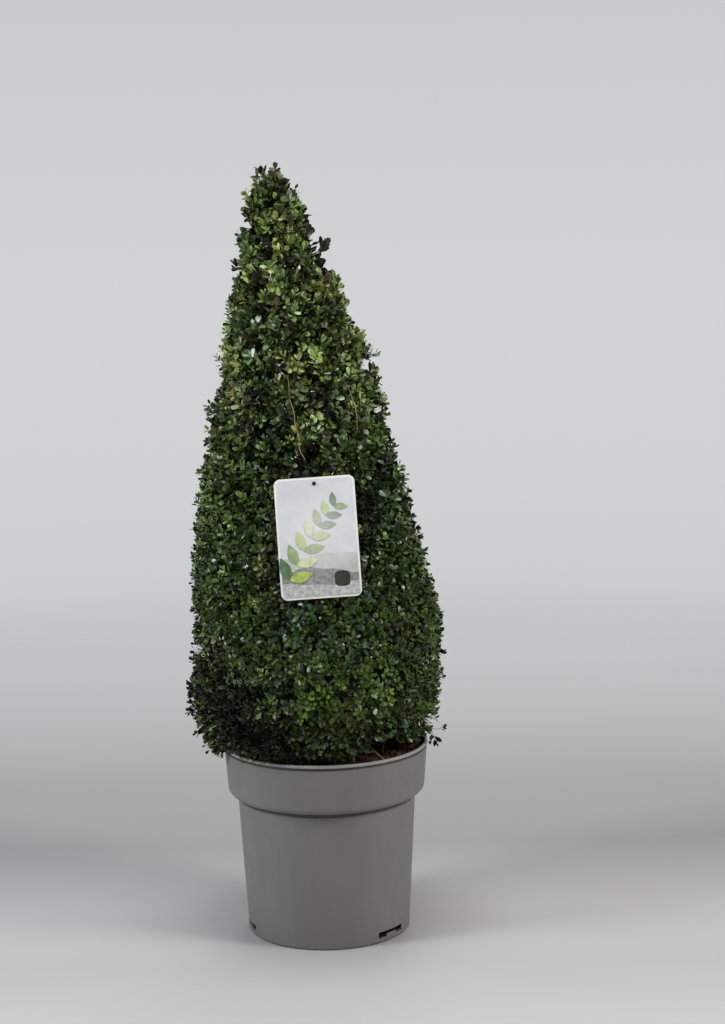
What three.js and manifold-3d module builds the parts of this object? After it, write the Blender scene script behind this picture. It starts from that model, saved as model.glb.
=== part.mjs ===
// Boxwood cone topiary in its nursery pot, at real size. Millimetres, +Z up.
// The origin is the centre of the pot's flat underside. +X is to the right, and -Y is the
// front, where the plant label leans on the foliage.

import * as THREE from "three";
import { mergeVertices } from "three/addons/utils/BufferGeometryUtils.js";
import Module from "manifold-3d";

const wasm = await Module();
wasm.setup();

const GAP = 0.4;
const MERGE_DISTANCE = 1e-3;
const degrees = THREE.MathUtils.degToRad;
const mix = THREE.MathUtils.lerp;

// Pot: a round nursery container with a taper, an outset collar and a beaded lip.
const POT_SIDES = 36;
const POT_HEIGHT = 253;
const POT_WALL = 2;
const POT_FLOOR = 2;
const BASE_RADIUS = 107.2;
const SHOULDER_RADIUS = 117.9;
const SHOULDER_Z = 186;
const COLLAR_FOOT_RADIUS = 124.3;
const COLLAR_BEND_RADIUS = 130;
const COLLAR_BEND_Z = 191;
const COLLAR_ROUND_RADIUS = 131;
const COLLAR_ROUND_Z = 205;
const COLLAR_TOP_RADIUS = 134;
const LIP_HEIGHT = 4;
const LIP_PROUD = 1.3;
const LIP_WIDTH = 3;
const LIP_BEVEL = 1;
const LIP_TOP_RADIUS = COLLAR_TOP_RADIUS + LIP_PROUD - LIP_BEVEL;
const FOOT_DISC_RADIUS = 70;
const FOOT_RING_WIDTH = 6.5;
const FOOT_RECESS = 4;
const FOOT_BEVEL = 1.6;
const FOOT_DRAFT = 1.5;
const DRAIN_ANGLES = [-166, -40, 77];
const DRAIN_WIDTH = 47;
const DRAIN_LOW = 6;
const DRAIN_HIGH = 14.8;
const DRAIN_HUMP_WIDTH = 18;
const DRAIN_HUMP_HEIGHT = 4;
const DRAIN_DEPTH = 14;

// Root ball: damp potting soil, a little below the lip.
const SOIL_Z = 244;
const SOIL_SEAT_RADIUS = 24;
const SOIL_RINGS = [SOIL_SEAT_RADIUS, 72, 107];
const SOIL_RIPPLES = [
  { waves: 3, run: 17, height: 1.1 },
  { waves: 5, run: -11, height: 1.1 },
];
const SOIL_FALL = 3;

// Crown: a clipped cone that leans to the left, full at the foot and blunt at the tip.
const CROWN_SIDES = 32;
const CROWN_ROWS = 22;
const BELOW_CROWN_Z = 200;
const CROWN_FOOT_Z = 260;
const CROWN_FOOT_WAVES = [
  { waves: 1, turn: 30, height: 12 },
  { waves: 2, turn: 90, height: 6 },
  { waves: 7, turn: -90, height: 3 },
];
const CROWN_WIDE_Z = 330;
const CROWN_TOP_Z = 1008;
const CROWN_APEX_Z = 1020;
const CROWN_RADIUS = 167;
const CROWN_FOOT_TUCK = 0.08;
const CROWN_FULLNESS = 1.3;
const CROWN_ROUNDNESS = 0.65;
const CROWN_LEAN = 50;
const CROWN_OFFSET = -5;
const CROWN_ARCH_Z = 290;
const CROWN_TIP_SHARE = 0.75;
const UNDERSIDE_STEPS = [0, 0.3, 0.6, 0.82, 0.94];
const UNDERSIDE_SHARPNESS = 6;

// Lumps of the clipped surface: waves round the crown that wind with height.
const LUMPS = [
  { waves: 3, rise: 61, phase: 0, depth: 0.022 },
  { waves: 5, rise: -37, phase: 1, depth: 0.022 },
  { waves: 8, rise: 23, phase: 2, depth: 0.018 },
];

// Tufts and hollows that break the clipped outline.
const TUFTS = [
  { angle: 0, z: 856, reach: 12, width: 26, height: 18 },
  { angle: -5, z: 908, reach: -15, width: 38, height: 24 },
  { angle: 182, z: 866, reach: -10, width: 30, height: 18 },
  { angle: 188, z: 800, reach: -5, width: 34, height: 26 },
  { angle: 5, z: 754, reach: 18, width: 26, height: 24 },
  { angle: 180, z: 742, reach: -14, width: 30, height: 20 },
  { angle: 8, z: 715, reach: 8, width: 30, height: 20 },
  { angle: 12, z: 655, reach: 6, width: 24, height: 26 },
  { angle: 184, z: 596, reach: 6, width: 30, height: 34 },
  { angle: 180, z: 474, reach: 12, width: 34, height: 44 },
  { angle: 172, z: 378, reach: 6, width: 26, height: 22 },
  { angle: 178, z: 308, reach: 8, width: 24, height: 24 },
  { angle: -60, z: 285, reach: -20, width: 40, height: 30 },
];

// Bands of foliage from the foot up, each split into masses round the trunk.
const BANDS = [
  { name: "skirt", top: 345, turn: -45, twist: 14, masses: ["right", "back", "left", "front"] },
  { name: "lower", top: 468, turn: -25, twist: -16, masses: ["right", "left", "front"] },
  { name: "middle", top: 602, turn: 40, twist: 18, masses: ["back", "left", "right"] },
  { name: "upper", top: 738, turn: -105, twist: -20, masses: ["right", "left"] },
  { name: "neck", top: 862, turn: 78, twist: 16, masses: ["left", "shoulder"] },
  { name: "top", top: 1048, turn: 0, twist: 0, masses: [] },
];
const BAND_SIDES = 12;
const BAND_REACH = 230;
const BAND_RINGS = [0, 0.4, 1];
const BAND_WAVES = [
  { waves: 2, shift: 1.7, height: 15 },
  { waves: 3, shift: -2.3, height: 9 },
];
const WEDGE_ARC_RADIUS = 276;
const WEDGE_POINTS = 3;
const WEDGE_START = 2;
const WEDGE_RISE_STEPS = 2;
const WEDGE_WAVE = 6;
const WEDGE_WAVELENGTH = 26;
const WEDGE_PHASE = 2;
const WEDGE_REACH_BACK = 0.5;
const WEDGE_MARGIN = 50;

// Trunk: one leader from the soil to near the tip.
const TRUNK_SIDES = 8;
const TRUNK_STEPS = 12;
const TRUNK_STEP_GROWTH = 1.35;
const TRUNK_TOP_Z = 972;
const TRUNK_RADIUS = 8.6;
const TRUNK_TIP_RADIUS = 2.8;
const TRUNK_SWAY = 3;
const TRUNK_BOW = 1.5;
const TRUNK_SWAY_LENGTH = 120;
const FLARE = 6.5;
const FLARE_HEIGHT = 13;
const FLARE_RIDGES = 5;
const FLARE_RIDGE_DEPTH = 0.16;

// Boughs: they fork from the foot of the trunk and rise into the skirt.
const BOUGHS = [
  { name: "bough_front_left", angle: -114, start: 14, reach: 88, radius: 5.2 },
  { name: "bough_front_right", angle: -64, start: 20, reach: 96, radius: 4.6 },
  { name: "bough_right", angle: -8, start: 12, reach: 84, radius: 5 },
  { name: "bough_back", angle: 82, start: 18, reach: 92, radius: 4.8 },
  { name: "bough_left", angle: 172, start: 16, reach: 90, radius: 5.4 },
];
const BOUGH_SIDES = 7;
const BOUGH_STEPS = 4;
const BOUGH_TAPER = 0.62;
const BOUGH_ENTRY = 9;
const BOUGH_BEND_SHARE = 0.55;
const BOUGH_BEND_RISE = 10;

// Plant label: a stiff printed card that leans on the front of the crown.
const TAG_WIDTH = 100;
const TAG_HEIGHT = 150;
const TAG_CORNER = 8;
const TAG_THICKNESS = 0.8;
const TAG_HOLE_RADIUS = 2.6;
const TAG_HOLE_DROP = 8;
const TAG_CENTRE = [-1, -145.5, 546.5];
const TAG_LEAN = 10;
const TAG_TURN = 3;
const TAG_CLEARING = 60;

const FOLIAGE = { color: 0x33502a, roughness: 0.6 };
const YOUNG_FOLIAGE = { color: 0x4a6a30, roughness: 0.6 };
const YOUNG_BANDS = ["neck", "top"];
const BARK = { color: 0x6b5240, roughness: 0.85 };
const SOIL = { color: 0x2e211b, roughness: 0.95 };
const POT_PLASTIC = { color: 0x6e6c6b, roughness: 0.65 };
const LABEL_CARD = { color: 0xe4e6e4, roughness: 0.45 };

// A closed geometry as a solid for cutting and joining.
function solid(geometry) {
  const bare = geometry.clone();
  bare.deleteAttribute("normal");
  bare.deleteAttribute("uv");
  const merged = mergeVertices(bare, MERGE_DISTANCE);
  const corners = [];
  for (let i = 0; i < merged.index.count; i += 3) {
    const [a, b, c] = [0, 1, 2].map((k) => merged.index.getX(i + k));
    if (a !== b && b !== c && c !== a) corners.push(a, b, c);
  }
  return new wasm.Manifold(
    new wasm.Mesh({
      numProp: 3,
      vertProperties: new Float32Array(merged.attributes.position.array),
      triVerts: new Uint32Array(corners),
    }),
  );
}

// A finished solid as a named mesh with its own material.
function part(name, body, { color, roughness }) {
  const mesh = body.getMesh();
  const geometry = new THREE.BufferGeometry();
  geometry.setAttribute("position", new THREE.BufferAttribute(mesh.vertProperties, 3));
  geometry.setIndex(new THREE.BufferAttribute(mesh.triVerts, 1));
  geometry.computeVertexNormals();
  const material = new THREE.MeshStandardMaterial({ color, roughness, metalness: 0 });
  const named = new THREE.Mesh(geometry, material);
  named.name = name;
  return named;
}

// Moves every vertex of a geometry to the place that a function gives for it.
function reshape(geometry, place) {
  const position = geometry.attributes.position;
  const vertex = new THREE.Vector3();
  for (let i = 0; i < position.count; i++) {
    place(vertex.fromBufferAttribute(position, i));
    position.setXYZ(i, vertex.x, vertex.y, vertex.z);
  }
  return geometry;
}

// Geometry made round or along the Y axis, stood upright with exact zeros kept.
function upright(geometry) {
  return reshape(geometry, (vertex) => vertex.set(vertex.x, -vertex.z, vertex.y));
}

// A profile of (radius, height) points turned about the vertical axis.
function turned(profile, sides) {
  const points = profile.map(([radius, height]) => new THREE.Vector2(radius, height));
  return upright(new THREE.LatheGeometry(points, sides));
}

// Turned geometry whose vertices are placed by their angle, radius share and height share.
function shapedRound(profile, sides, place) {
  return reshape(turned(profile, sides), (vertex) => {
    const share = Math.hypot(vertex.x, vertex.y);
    const angle = share > 1e-6 ? Math.atan2(vertex.y, vertex.x) : 0;
    const { radius, centre, z } = place(angle, share, vertex.z);
    vertex.set(centre + radius * Math.cos(angle), radius * Math.sin(angle), z);
  });
}

// Pot -------------------------------------------------------------------------------------

function collarCurve(inset, steps) {
  const start = new THREE.Vector2(COLLAR_FOOT_RADIUS - inset, SHOULDER_Z + inset);
  const bend = new THREE.Vector2(COLLAR_BEND_RADIUS - inset, COLLAR_BEND_Z + inset);
  const end = new THREE.Vector2(COLLAR_ROUND_RADIUS - inset, COLLAR_ROUND_Z);
  const curve = new THREE.QuadraticBezierCurve(start, bend, end);
  return curve.getPoints(steps).map((point) => [point.x, point.y]);
}

function potOutside() {
  const lipBottom = POT_HEIGHT - LIP_HEIGHT;
  return [
    [0, 0],
    [FOOT_DISC_RADIUS, 0],
    [FOOT_DISC_RADIUS + FOOT_DRAFT, FOOT_RECESS],
    [BASE_RADIUS - FOOT_RING_WIDTH - FOOT_DRAFT, FOOT_RECESS],
    [BASE_RADIUS - FOOT_RING_WIDTH, 0],
    [BASE_RADIUS - FOOT_BEVEL, 0],
    [BASE_RADIUS, FOOT_BEVEL],
    [SHOULDER_RADIUS, SHOULDER_Z],
    ...collarCurve(0, 3),
    [COLLAR_TOP_RADIUS, lipBottom],
    [COLLAR_TOP_RADIUS + LIP_PROUD, lipBottom + LIP_BEVEL],
    [COLLAR_TOP_RADIUS + LIP_PROUD, POT_HEIGHT - LIP_BEVEL],
    [LIP_TOP_RADIUS, POT_HEIGHT],
  ];
}

function potInside(gap) {
  const wallFoot = BASE_RADIUS - POT_WALL - gap;
  const floorRise = FOOT_RECESS + POT_FLOOR + gap;
  return [
    [0, POT_FLOOR + gap],
    [FOOT_DISC_RADIUS - POT_FLOOR - gap, POT_FLOOR + gap],
    [FOOT_DISC_RADIUS + FOOT_DRAFT - POT_FLOOR - gap, floorRise],
    [wallFoot, floorRise],
    [SHOULDER_RADIUS - POT_WALL - gap, SHOULDER_Z + POT_WALL + gap],
    ...collarCurve(POT_WALL + gap, 1),
  ];
}

function potSolid() {
  const rimInside = [LIP_TOP_RADIUS - LIP_WIDTH, POT_HEIGHT];
  const profile = [...potOutside(), rimInside, ...potInside(0).reverse()];
  let pot = solid(turned(profile, POT_SIDES));
  for (const angle of DRAIN_ANGLES) pot = pot.subtract(drainSlot(angle));
  return pot;
}

// A wide slot through the foot of the wall, with a low hump left in the middle of its sill.
function drainSlot(angle) {
  const height = DRAIN_HIGH - DRAIN_LOW;
  const slot = new THREE.BoxGeometry(DRAIN_DEPTH, DRAIN_WIDTH, height);
  slot.translate(0, 0, DRAIN_LOW + height / 2);
  const hump = new THREE.BoxGeometry(2 * DRAIN_DEPTH, DRAIN_HUMP_WIDTH, 2 * DRAIN_HUMP_HEIGHT);
  hump.translate(0, 0, DRAIN_LOW);
  const cut = solid(slot).subtract(solid(hump));
  return cut.translate([BASE_RADIUS - POT_WALL / 2, 0, 0]).rotate([0, 0, angle]);
}

// Root ball -------------------------------------------------------------------------------

function rootBallSolid() {
  const wall = potInside(GAP);
  const [lastRadius, lastZ] = wall[wall.length - 1];
  const wallSlope = (LIP_TOP_RADIUS - LIP_WIDTH - GAP - lastRadius) / (POT_HEIGHT - lastZ);
  const edge = [lastRadius + wallSlope * (SOIL_Z - lastZ), SOIL_Z];
  const rings = SOIL_RINGS.map((radius) => [radius, SOIL_Z]).reverse();
  const geometry = turned([...wall, edge, ...rings, [0, SOIL_Z]], POT_SIDES);
  reshape(geometry, (vertex) => {
    const radius = Math.hypot(vertex.x, vertex.y);
    const onTop = vertex.z === SOIL_Z && radius > SOIL_SEAT_RADIUS + MERGE_DISTANCE;
    if (!onTop) return;
    const angle = Math.atan2(vertex.y, vertex.x);
    const lift = SOIL_RIPPLES.reduce(
      (sum, ripple) => sum + ripple.height * Math.sin(ripple.waves * angle + radius / ripple.run),
      0,
    );
    vertex.z += lift - SOIL_FALL * (radius / COLLAR_TOP_RADIUS);
  });
  return solid(geometry);
}

// Crown -----------------------------------------------------------------------------------

function crownHeightShare(z) {
  return THREE.MathUtils.clamp((z - CROWN_WIDE_Z) / (CROWN_APEX_Z - CROWN_WIDE_Z), 0, 1);
}

function crownCentre(z) {
  return CROWN_OFFSET - CROWN_LEAN * crownHeightShare(z) ** CROWN_FULLNESS;
}

// Height of the ragged lower edge, lowest on the left and highest at the front right.
function crownEdge(angle) {
  return CROWN_FOOT_WAVES.reduce(
    (sum, wave) => sum + wave.height * Math.cos(wave.waves * angle + degrees(wave.turn)),
    CROWN_FOOT_Z,
  );
}

function tuftReach(angle, z) {
  return TUFTS.reduce((sum, tuft) => {
    const turn = angle - degrees(tuft.angle);
    const around = Math.atan2(Math.sin(turn), Math.cos(turn)) / degrees(tuft.width);
    const along = (z - tuft.z) / tuft.height;
    return sum + tuft.reach * Math.exp(-around * around - along * along);
  }, 0);
}

function crownRadius(angle, z) {
  const cone = (1 - crownHeightShare(z) ** CROWN_FULLNESS) ** CROWN_ROUNDNESS;
  const below = Math.max(0, CROWN_WIDE_Z - z) / (CROWN_WIDE_Z - CROWN_FOOT_Z);
  const lumps = LUMPS.reduce(
    (sum, lump) => sum + lump.depth * Math.sin(lump.waves * angle + z / lump.rise + lump.phase),
    0,
  );
  const tuck = 1 - CROWN_FOOT_TUCK * below * below;
  return CROWN_RADIUS * cone * tuck * (1 + lumps) + tuftReach(angle, z);
}

function crownUnderside(angle, share) {
  return mix(CROWN_ARCH_Z, crownEdge(angle), share ** UNDERSIDE_SHARPNESS);
}

function crownSolid() {
  const profile = UNDERSIDE_STEPS.map((share) => [share, 0]);
  for (let row = 0; row < CROWN_ROWS; row++) profile.push([1, row / CROWN_ROWS]);
  profile.push([CROWN_TIP_SHARE, 1], [0, 1]);
  const geometry = shapedRound(profile, CROWN_SIDES, (angle, share, rise) => {
    const z = rise > 0 ? mix(crownEdge(angle), CROWN_TOP_Z, rise) : crownUnderside(angle, share);
    const outer = crownRadius(angle, rise > 0 ? z : crownEdge(angle));
    return { radius: share * outer, centre: crownCentre(z), z };
  });
  return solid(geometry);
}

// Trunk and boughs ------------------------------------------------------------------------

function trunkCentre(z) {
  const along = (z - SOIL_Z) / TRUNK_SWAY_LENGTH;
  const sway = TRUNK_SWAY * Math.sin(along);
  const bow = TRUNK_BOW * (1 - Math.cos(along));
  return new THREE.Vector3(crownCentre(z) + sway, bow, z);
}

// The trunk with its taper and root flare. Grown by extra all round, it is its own clearance.
function trunkSolid(extra) {
  const geometry = upright(new THREE.CylinderGeometry(1, 1, 1, TRUNK_SIDES, TRUNK_STEPS));
  reshape(geometry, (vertex) => {
    const share = vertex.z + 0.5;
    const level = mix(SOIL_Z + GAP, TRUNK_TOP_Z, share ** TRUNK_STEP_GROWTH);
    const z = level + extra * (2 * share - 1);
    const angle = Math.atan2(vertex.y, vertex.x);
    const flare = Math.exp(-(level - SOIL_Z) / FLARE_HEIGHT);
    const ridges = 1 + FLARE_RIDGE_DEPTH * flare * Math.cos(FLARE_RIDGES * angle);
    const radius = (mix(TRUNK_RADIUS, TRUNK_TIP_RADIUS, share) + FLARE * flare) * ridges + extra;
    const centre = trunkCentre(level);
    const spread = Math.hypot(vertex.x, vertex.y) * radius;
    vertex.set(centre.x + spread * Math.cos(angle), centre.y + spread * Math.sin(angle), z);
  });
  return solid(geometry);
}

function boughCurve(bough) {
  const angle = degrees(bough.angle);
  const start = trunkCentre(SOIL_Z + bough.start);
  const share = bough.reach / crownRadius(angle, crownEdge(angle));
  const end = new THREE.Vector3(
    crownCentre(CROWN_FOOT_Z) + bough.reach * Math.cos(angle),
    bough.reach * Math.sin(angle),
    crownUnderside(angle, share) + BOUGH_ENTRY,
  );
  const bend = start.clone().lerp(end, BOUGH_BEND_SHARE);
  bend.z = start.z + BOUGH_BEND_RISE;
  return new THREE.QuadraticBezierCurve3(start, bend, end);
}

// One tapering limb along its curve. Grown by extra all round, it is its own clearance.
function boughSolid(bough, extra) {
  const curve = boughCurve(bough);
  const across = new THREE.Vector3(-Math.sin(degrees(bough.angle)), Math.cos(degrees(bough.angle)), 0);
  const geometry = upright(new THREE.CylinderGeometry(1, 1, 1, BOUGH_SIDES, BOUGH_STEPS));
  reshape(geometry, (vertex) => {
    const share = vertex.z + 0.5;
    const tangent = curve.getTangent(share);
    const above = new THREE.Vector3().crossVectors(tangent, across);
    const radius = bough.radius * mix(1, BOUGH_TAPER, share) + extra;
    const { x, y } = vertex;
    vertex.copy(curve.getPoint(share)).addScaledVector(tangent, extra * (2 * share - 1));
    vertex.addScaledVector(across, x * radius).addScaledVector(above, y * radius);
  });
  return solid(geometry);
}

// Foliage masses --------------------------------------------------------------------------

function bandFloor(index) {
  return index === 0 ? BELOW_CROWN_Z : BANDS[index - 1].top;
}

// The uneven surface between one band and the next.
function bandSurface(index, angle, share) {
  return BAND_WAVES.reduce(
    (sum, wave) => sum + wave.height * share * Math.sin(wave.waves * angle + wave.shift * index),
    BANDS[index].top,
  );
}

function bandSolid(index) {
  const floor = bandFloor(index);
  const bottom = BAND_RINGS.map((share) => [share, 0]);
  const top = BAND_RINGS.map((share) => [share, 1]).reverse();
  const geometry = shapedRound([...bottom, ...top], BAND_SIDES, (angle, share, rise) => {
    const surface = rise === 1 ? index : index - 1;
    const level = surface < 0 ? floor : bandSurface(surface, angle, share);
    const centre = crownCentre(surface < 0 ? floor : BANDS[surface].top);
    return { radius: BAND_REACH * share, centre, z: level + (rise === 1 ? -GAP / 2 : GAP / 2) };
  });
  return solid(geometry);
}

// One side of a wedge, as a wavy line out from the trunk.
function wedgeSide(angle, phase, shift) {
  const line = [];
  for (let i = 0; i <= WEDGE_POINTS; i++) {
    const along = mix(WEDGE_START, BAND_REACH, i / WEDGE_POINTS);
    const across = shift + WEDGE_WAVE * Math.sin(along / WEDGE_WAVELENGTH + phase) * (i > 0 ? 1 : 0);
    line.push(new THREE.Vector2(along, across).rotateAround(new THREE.Vector2(), angle));
  }
  return line;
}

// The share of a band that one mass takes: a wedge that leans with the trunk and winds round it.
// Past the first, it reaches back over the wedge before it, which is already cut away.
function wedgeSolid(band, index, floor, extra) {
  const count = band.masses.length;
  const middle = (floor + band.top) / 2;
  const reachBack = index > 0 ? WEDGE_REACH_BACK : 0;
  const first = degrees(band.turn + (360 * (index - reachBack)) / count);
  const last = degrees(band.turn + (360 * (index + 1)) / count);
  const nextPhase = ((index + 1) % count) * WEDGE_PHASE;
  const arc = [1, 2, 3].map((step) => {
    const angle = mix(first, last, step / 4);
    return new THREE.Vector2(Math.cos(angle), Math.sin(angle)).multiplyScalar(WEDGE_ARC_RADIUS);
  });
  const outline = [
    ...wedgeSide(first, index * WEDGE_PHASE, -extra),
    ...arc,
    ...wedgeSide(last, nextPhase, extra).reverse(),
  ];
  const depth = band.top - floor + 2 * WEDGE_MARGIN;
  const geometry = new THREE.ExtrudeGeometry(new THREE.Shape(outline), {
    depth,
    steps: WEDGE_RISE_STEPS,
    bevelEnabled: false,
  });
  reshape(geometry, (vertex) => {
    const z = vertex.z + floor - WEDGE_MARGIN;
    const centre = trunkCentre(z);
    centre.z = 0;
    const wind = degrees((band.twist * (z - middle)) / 100);
    vertex.setZ(0).applyAxisAngle(new THREE.Vector3(0, 0, 1), wind).add(centre).setZ(z);
  });
  return solid(geometry);
}

function foliageMasses(cutters) {
  const crown = cutters.reduce((left, cutter) => left.subtract(cutter), crownSolid());
  const masses = [];
  BANDS.forEach((band, index) => {
    const slice = crown.intersect(bandSolid(index));
    const floor = bandFloor(index);
    const finish = YOUNG_BANDS.includes(band.name) ? YOUNG_FOLIAGE : FOLIAGE;
    if (band.masses.length === 0) masses.push(part(`foliage_${band.name}`, slice, finish));
    let rest = slice;
    band.masses.forEach((place, wedge) => {
      const isLast = wedge === band.masses.length - 1;
      const mass = isLast ? rest : rest.intersect(wedgeSolid(band, wedge, floor, 0));
      masses.push(part(`foliage_${band.name}_${place}`, mass, finish));
      rest = rest.subtract(wedgeSolid(band, wedge, floor, GAP));
    });
  });
  return masses;
}

// Plant label -----------------------------------------------------------------------------

function tagGeometry(width, height, depth, hole) {
  const [x, y, corner] = [width / 2, height / 2, TAG_CORNER];
  const outline = new THREE.Shape();
  outline.absarc(x - corner, y - corner, corner, 0, Math.PI / 2);
  outline.absarc(corner - x, y - corner, corner, Math.PI / 2, Math.PI);
  outline.absarc(corner - x, corner - y, corner, Math.PI, 1.5 * Math.PI);
  outline.absarc(x - corner, corner - y, corner, 1.5 * Math.PI, 2 * Math.PI);
  if (hole) {
    const ring = new THREE.Path();
    ring.absarc(0, y - TAG_HOLE_DROP, TAG_HOLE_RADIUS, 0, 2 * Math.PI, true);
    outline.holes.push(ring);
  }
  const geometry = new THREE.ExtrudeGeometry(outline, { depth, bevelEnabled: false, curveSegments: 4 });
  geometry.rotateZ(degrees(TAG_TURN)).rotateX(degrees(90 - TAG_LEAN));
  return geometry.translate(...TAG_CENTRE);
}

function tagSolid() {
  return solid(tagGeometry(TAG_WIDTH, TAG_HEIGHT, TAG_THICKNESS, true));
}

// The room that the label needs: its own place and everything in front of it.
function tagClearing() {
  const geometry = tagGeometry(TAG_WIDTH + 2 * GAP, TAG_HEIGHT + 2 * GAP, TAG_CLEARING, false);
  return solid(geometry.translate(0, GAP, 0));
}

// Assembly --------------------------------------------------------------------------------

const topiary = new THREE.Group();
topiary.add(part("pot", potSolid(), POT_PLASTIC));
topiary.add(part("root_ball", rootBallSolid(), SOIL));
topiary.add(part("trunk", trunkSolid(0), BARK));
for (const bough of BOUGHS) {
  const limb = boughSolid(bough, 0).subtract(trunkSolid(GAP));
  topiary.add(part(bough.name, limb, BARK));
}
const limbRoom = BOUGHS.map((bough) => boughSolid(bough, GAP));
topiary.add(...foliageMasses([trunkSolid(GAP), ...limbRoom, tagClearing()]));
topiary.add(part("tag", tagSolid(), LABEL_CARD));

export default topiary;
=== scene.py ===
"""Boxwood cone topiary in its nursery pot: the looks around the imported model. Metres, +Z up.

The origin is the centre of the pot's underside, +X is to the right and -Y is the front. The pot, the
soil, the limbs and the label are smooth meshes in the places that their CAD nodes hold. The crown is
grown: limbs fork into branches, branchlets and leafy shoots whose tips end at the crown's surface.
"""

import math
from functools import cache

import bpy
import numpy as np
from mathutils import Matrix, Vector
from mathutils.bvhtree import BVHTree


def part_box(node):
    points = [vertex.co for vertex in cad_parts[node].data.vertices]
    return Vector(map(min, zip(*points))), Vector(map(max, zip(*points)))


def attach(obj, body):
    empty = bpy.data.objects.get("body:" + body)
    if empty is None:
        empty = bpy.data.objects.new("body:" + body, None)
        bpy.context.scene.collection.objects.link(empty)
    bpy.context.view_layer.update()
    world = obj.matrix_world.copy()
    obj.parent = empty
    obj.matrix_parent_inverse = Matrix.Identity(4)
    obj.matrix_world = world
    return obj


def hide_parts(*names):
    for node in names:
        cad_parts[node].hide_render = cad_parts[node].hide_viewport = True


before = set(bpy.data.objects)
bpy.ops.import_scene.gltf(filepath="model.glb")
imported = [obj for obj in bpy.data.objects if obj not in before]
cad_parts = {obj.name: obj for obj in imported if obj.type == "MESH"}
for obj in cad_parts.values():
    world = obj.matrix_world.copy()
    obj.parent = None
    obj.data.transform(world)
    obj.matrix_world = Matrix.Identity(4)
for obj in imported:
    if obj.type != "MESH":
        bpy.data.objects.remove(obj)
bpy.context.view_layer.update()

MM = 0.001
TURN = 2 * math.pi
GOLDEN_ANGLE = math.radians(137.508)
SHARP_ANGLE = math.radians(35)
UP = np.array([0.0, 0.0, 1.0])
RIGHT = np.array([1.0, 0.0, 0.0])

FOLIAGE_NODES = sorted(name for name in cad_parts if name.startswith("foliage_"))
YOUNG_NODES = [name for name in FOLIAGE_NODES if name.split("_")[1] in ("neck", "top")]
OLD_NODES = [name for name in FOLIAGE_NODES if name not in YOUNG_NODES]
BOUGH_NODES = sorted(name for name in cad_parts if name.startswith("bough_"))

# Pot, in millimetres: radii and heights of the CAD profile, and drain slots at angles in degrees.
POT_SEGMENTS = 216
POT_HEIGHT, POT_WALL, BASE_RADIUS = 253, 2, 107.2
SHOULDER_RADIUS, SHOULDER_Z = 117.9, 186
COLLAR_FOOT_RADIUS, COLLAR_TOP_RADIUS = 124.3, 134
BEND_RADIUS, BEND_Z = 130, 191
ROUND_RADIUS, ROUND_Z = 131, 205
LIP_RADIUS, LIP_INNER_RADIUS, LIP_FOOT = 135.3, 131.3, 249
GROOVE_DEPTH, UNDERCUT_DEPTH = 1.3, 1.2
FOOT_DISC_RADIUS, FOOT_RING_INNER, FOOT_RECESS = 70, 100.7, 4
DRAIN_ANGLES = (-166, -40, 77)
DRAIN_WIDTH, DRAIN_LOW, DRAIN_HIGH = 47, 6, 14.8
HUMP_WIDTH, HUMP_HEIGHT = 18, 4

# Soil, in millimetres. What lies on it: count, from and to a radius, shortest and longest half length,
# thickness for its length, steepness, and two colours.
SOIL_Z, SOIL_SEGMENTS, SOIL_RINGS = 243, 180, 44
PEAT = ((42, 29, 22), (114, 80, 61))
STREWN = {
    "soil_crumbs": (2600, 38, 128, 0.7, 2.4, 0.75, 1.0, *PEAT),
    "soil_bark_chips": (420, 45, 127, 1.4, 4.0, 0.40, 0.6, (58, 34, 26), (112, 76, 58)),
    "soil_fibres": (260, 40, 119, 2.0, 7.0, 0.08, 0.2, (66, 44, 32), (140, 112, 84)),
}

# Kinds of wood: a dark and a pale colour on screen, and the scale of the fissures.
WOODS = {
    "bark": ((74, 58, 46), (138, 118, 98), 170),
    "branch_bark": ((70, 54, 42), (128, 108, 86), 240),
    "twig_bark": ((58, 58, 34), (112, 104, 66), 300),
    "bare_twig_bark": ((66, 42, 32), (124, 90, 70), 280),
    "old_stem_bark": ((104, 98, 60), (158, 150, 104), 300),
    "dead_wood": ((88, 70, 63), (142, 120, 111), 260),
    "label_twig_bark": ((44, 36, 28), (82, 70, 52), 300),
}

# Kinds of green: the leaf's colour on screen, its roughness and its specular level. Young leaves, above a
# height in metres, are lighter, as young growth is, and greyer with a painted sheen.
GREENS = {
    "deep": ((43, 63, 17), 0.38, 0.6),
    "mid": ((63, 89, 25), 0.37, 0.65),
    "fresh": ((88, 116, 40), 0.38, 0.65),
    "cool": ((56, 86, 46), 0.33, 0.9),
    "olive": ((88, 98, 34), 0.40, 0.6),
    "bronze": ((50, 44, 28), 0.42, 0.45),
    # The "shade" kind is painted shade: near-black leaves put in hollows and along the crown's dark foot.
    "shade": ((18, 26, 10), 0.50, 0.25),
    "lime": ((122, 142, 58), 0.40, 0.6),
    "straw": ((134, 124, 90), 0.50, 0.4),
}
KINDS = list(GREENS)
# The inner layer's leaves take a darker kind, painted shade deeper in the crown.
DARKER = {"fresh": "mid", "lime": "mid", "mid": "deep", "olive": "deep", "straw": "bronze", "cool": "deep"}
YOUNG_HEIGHT = 0.690
YOUNG_TINT = np.array([2.55, 2.32, 2.15])
YOUNG_PAINTED_SHEEN = 0.22
LUMINANCE = np.array([0.2126, 0.7152, 0.0722])

# Crown: how many shoots and branches it has. Extra shoots hang from its foot in bands: from and to an angle
# in degrees, and how many. Its centre line is felt above the skirt, whose top is in metres.
SHOOT_COUNT, UNDER_SHOOT_COUNT, HEM_SHOOT_COUNT = 4650, 2800, 260
HEM_BANDS = ((-142, -66, 150), (-30, 12, 130))
BRANCH_COUNT, BRANCHLET_COUNT, BARE_TWIG_COUNT = 96, 560, 22
SKIRT_TOP = 0.29

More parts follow.
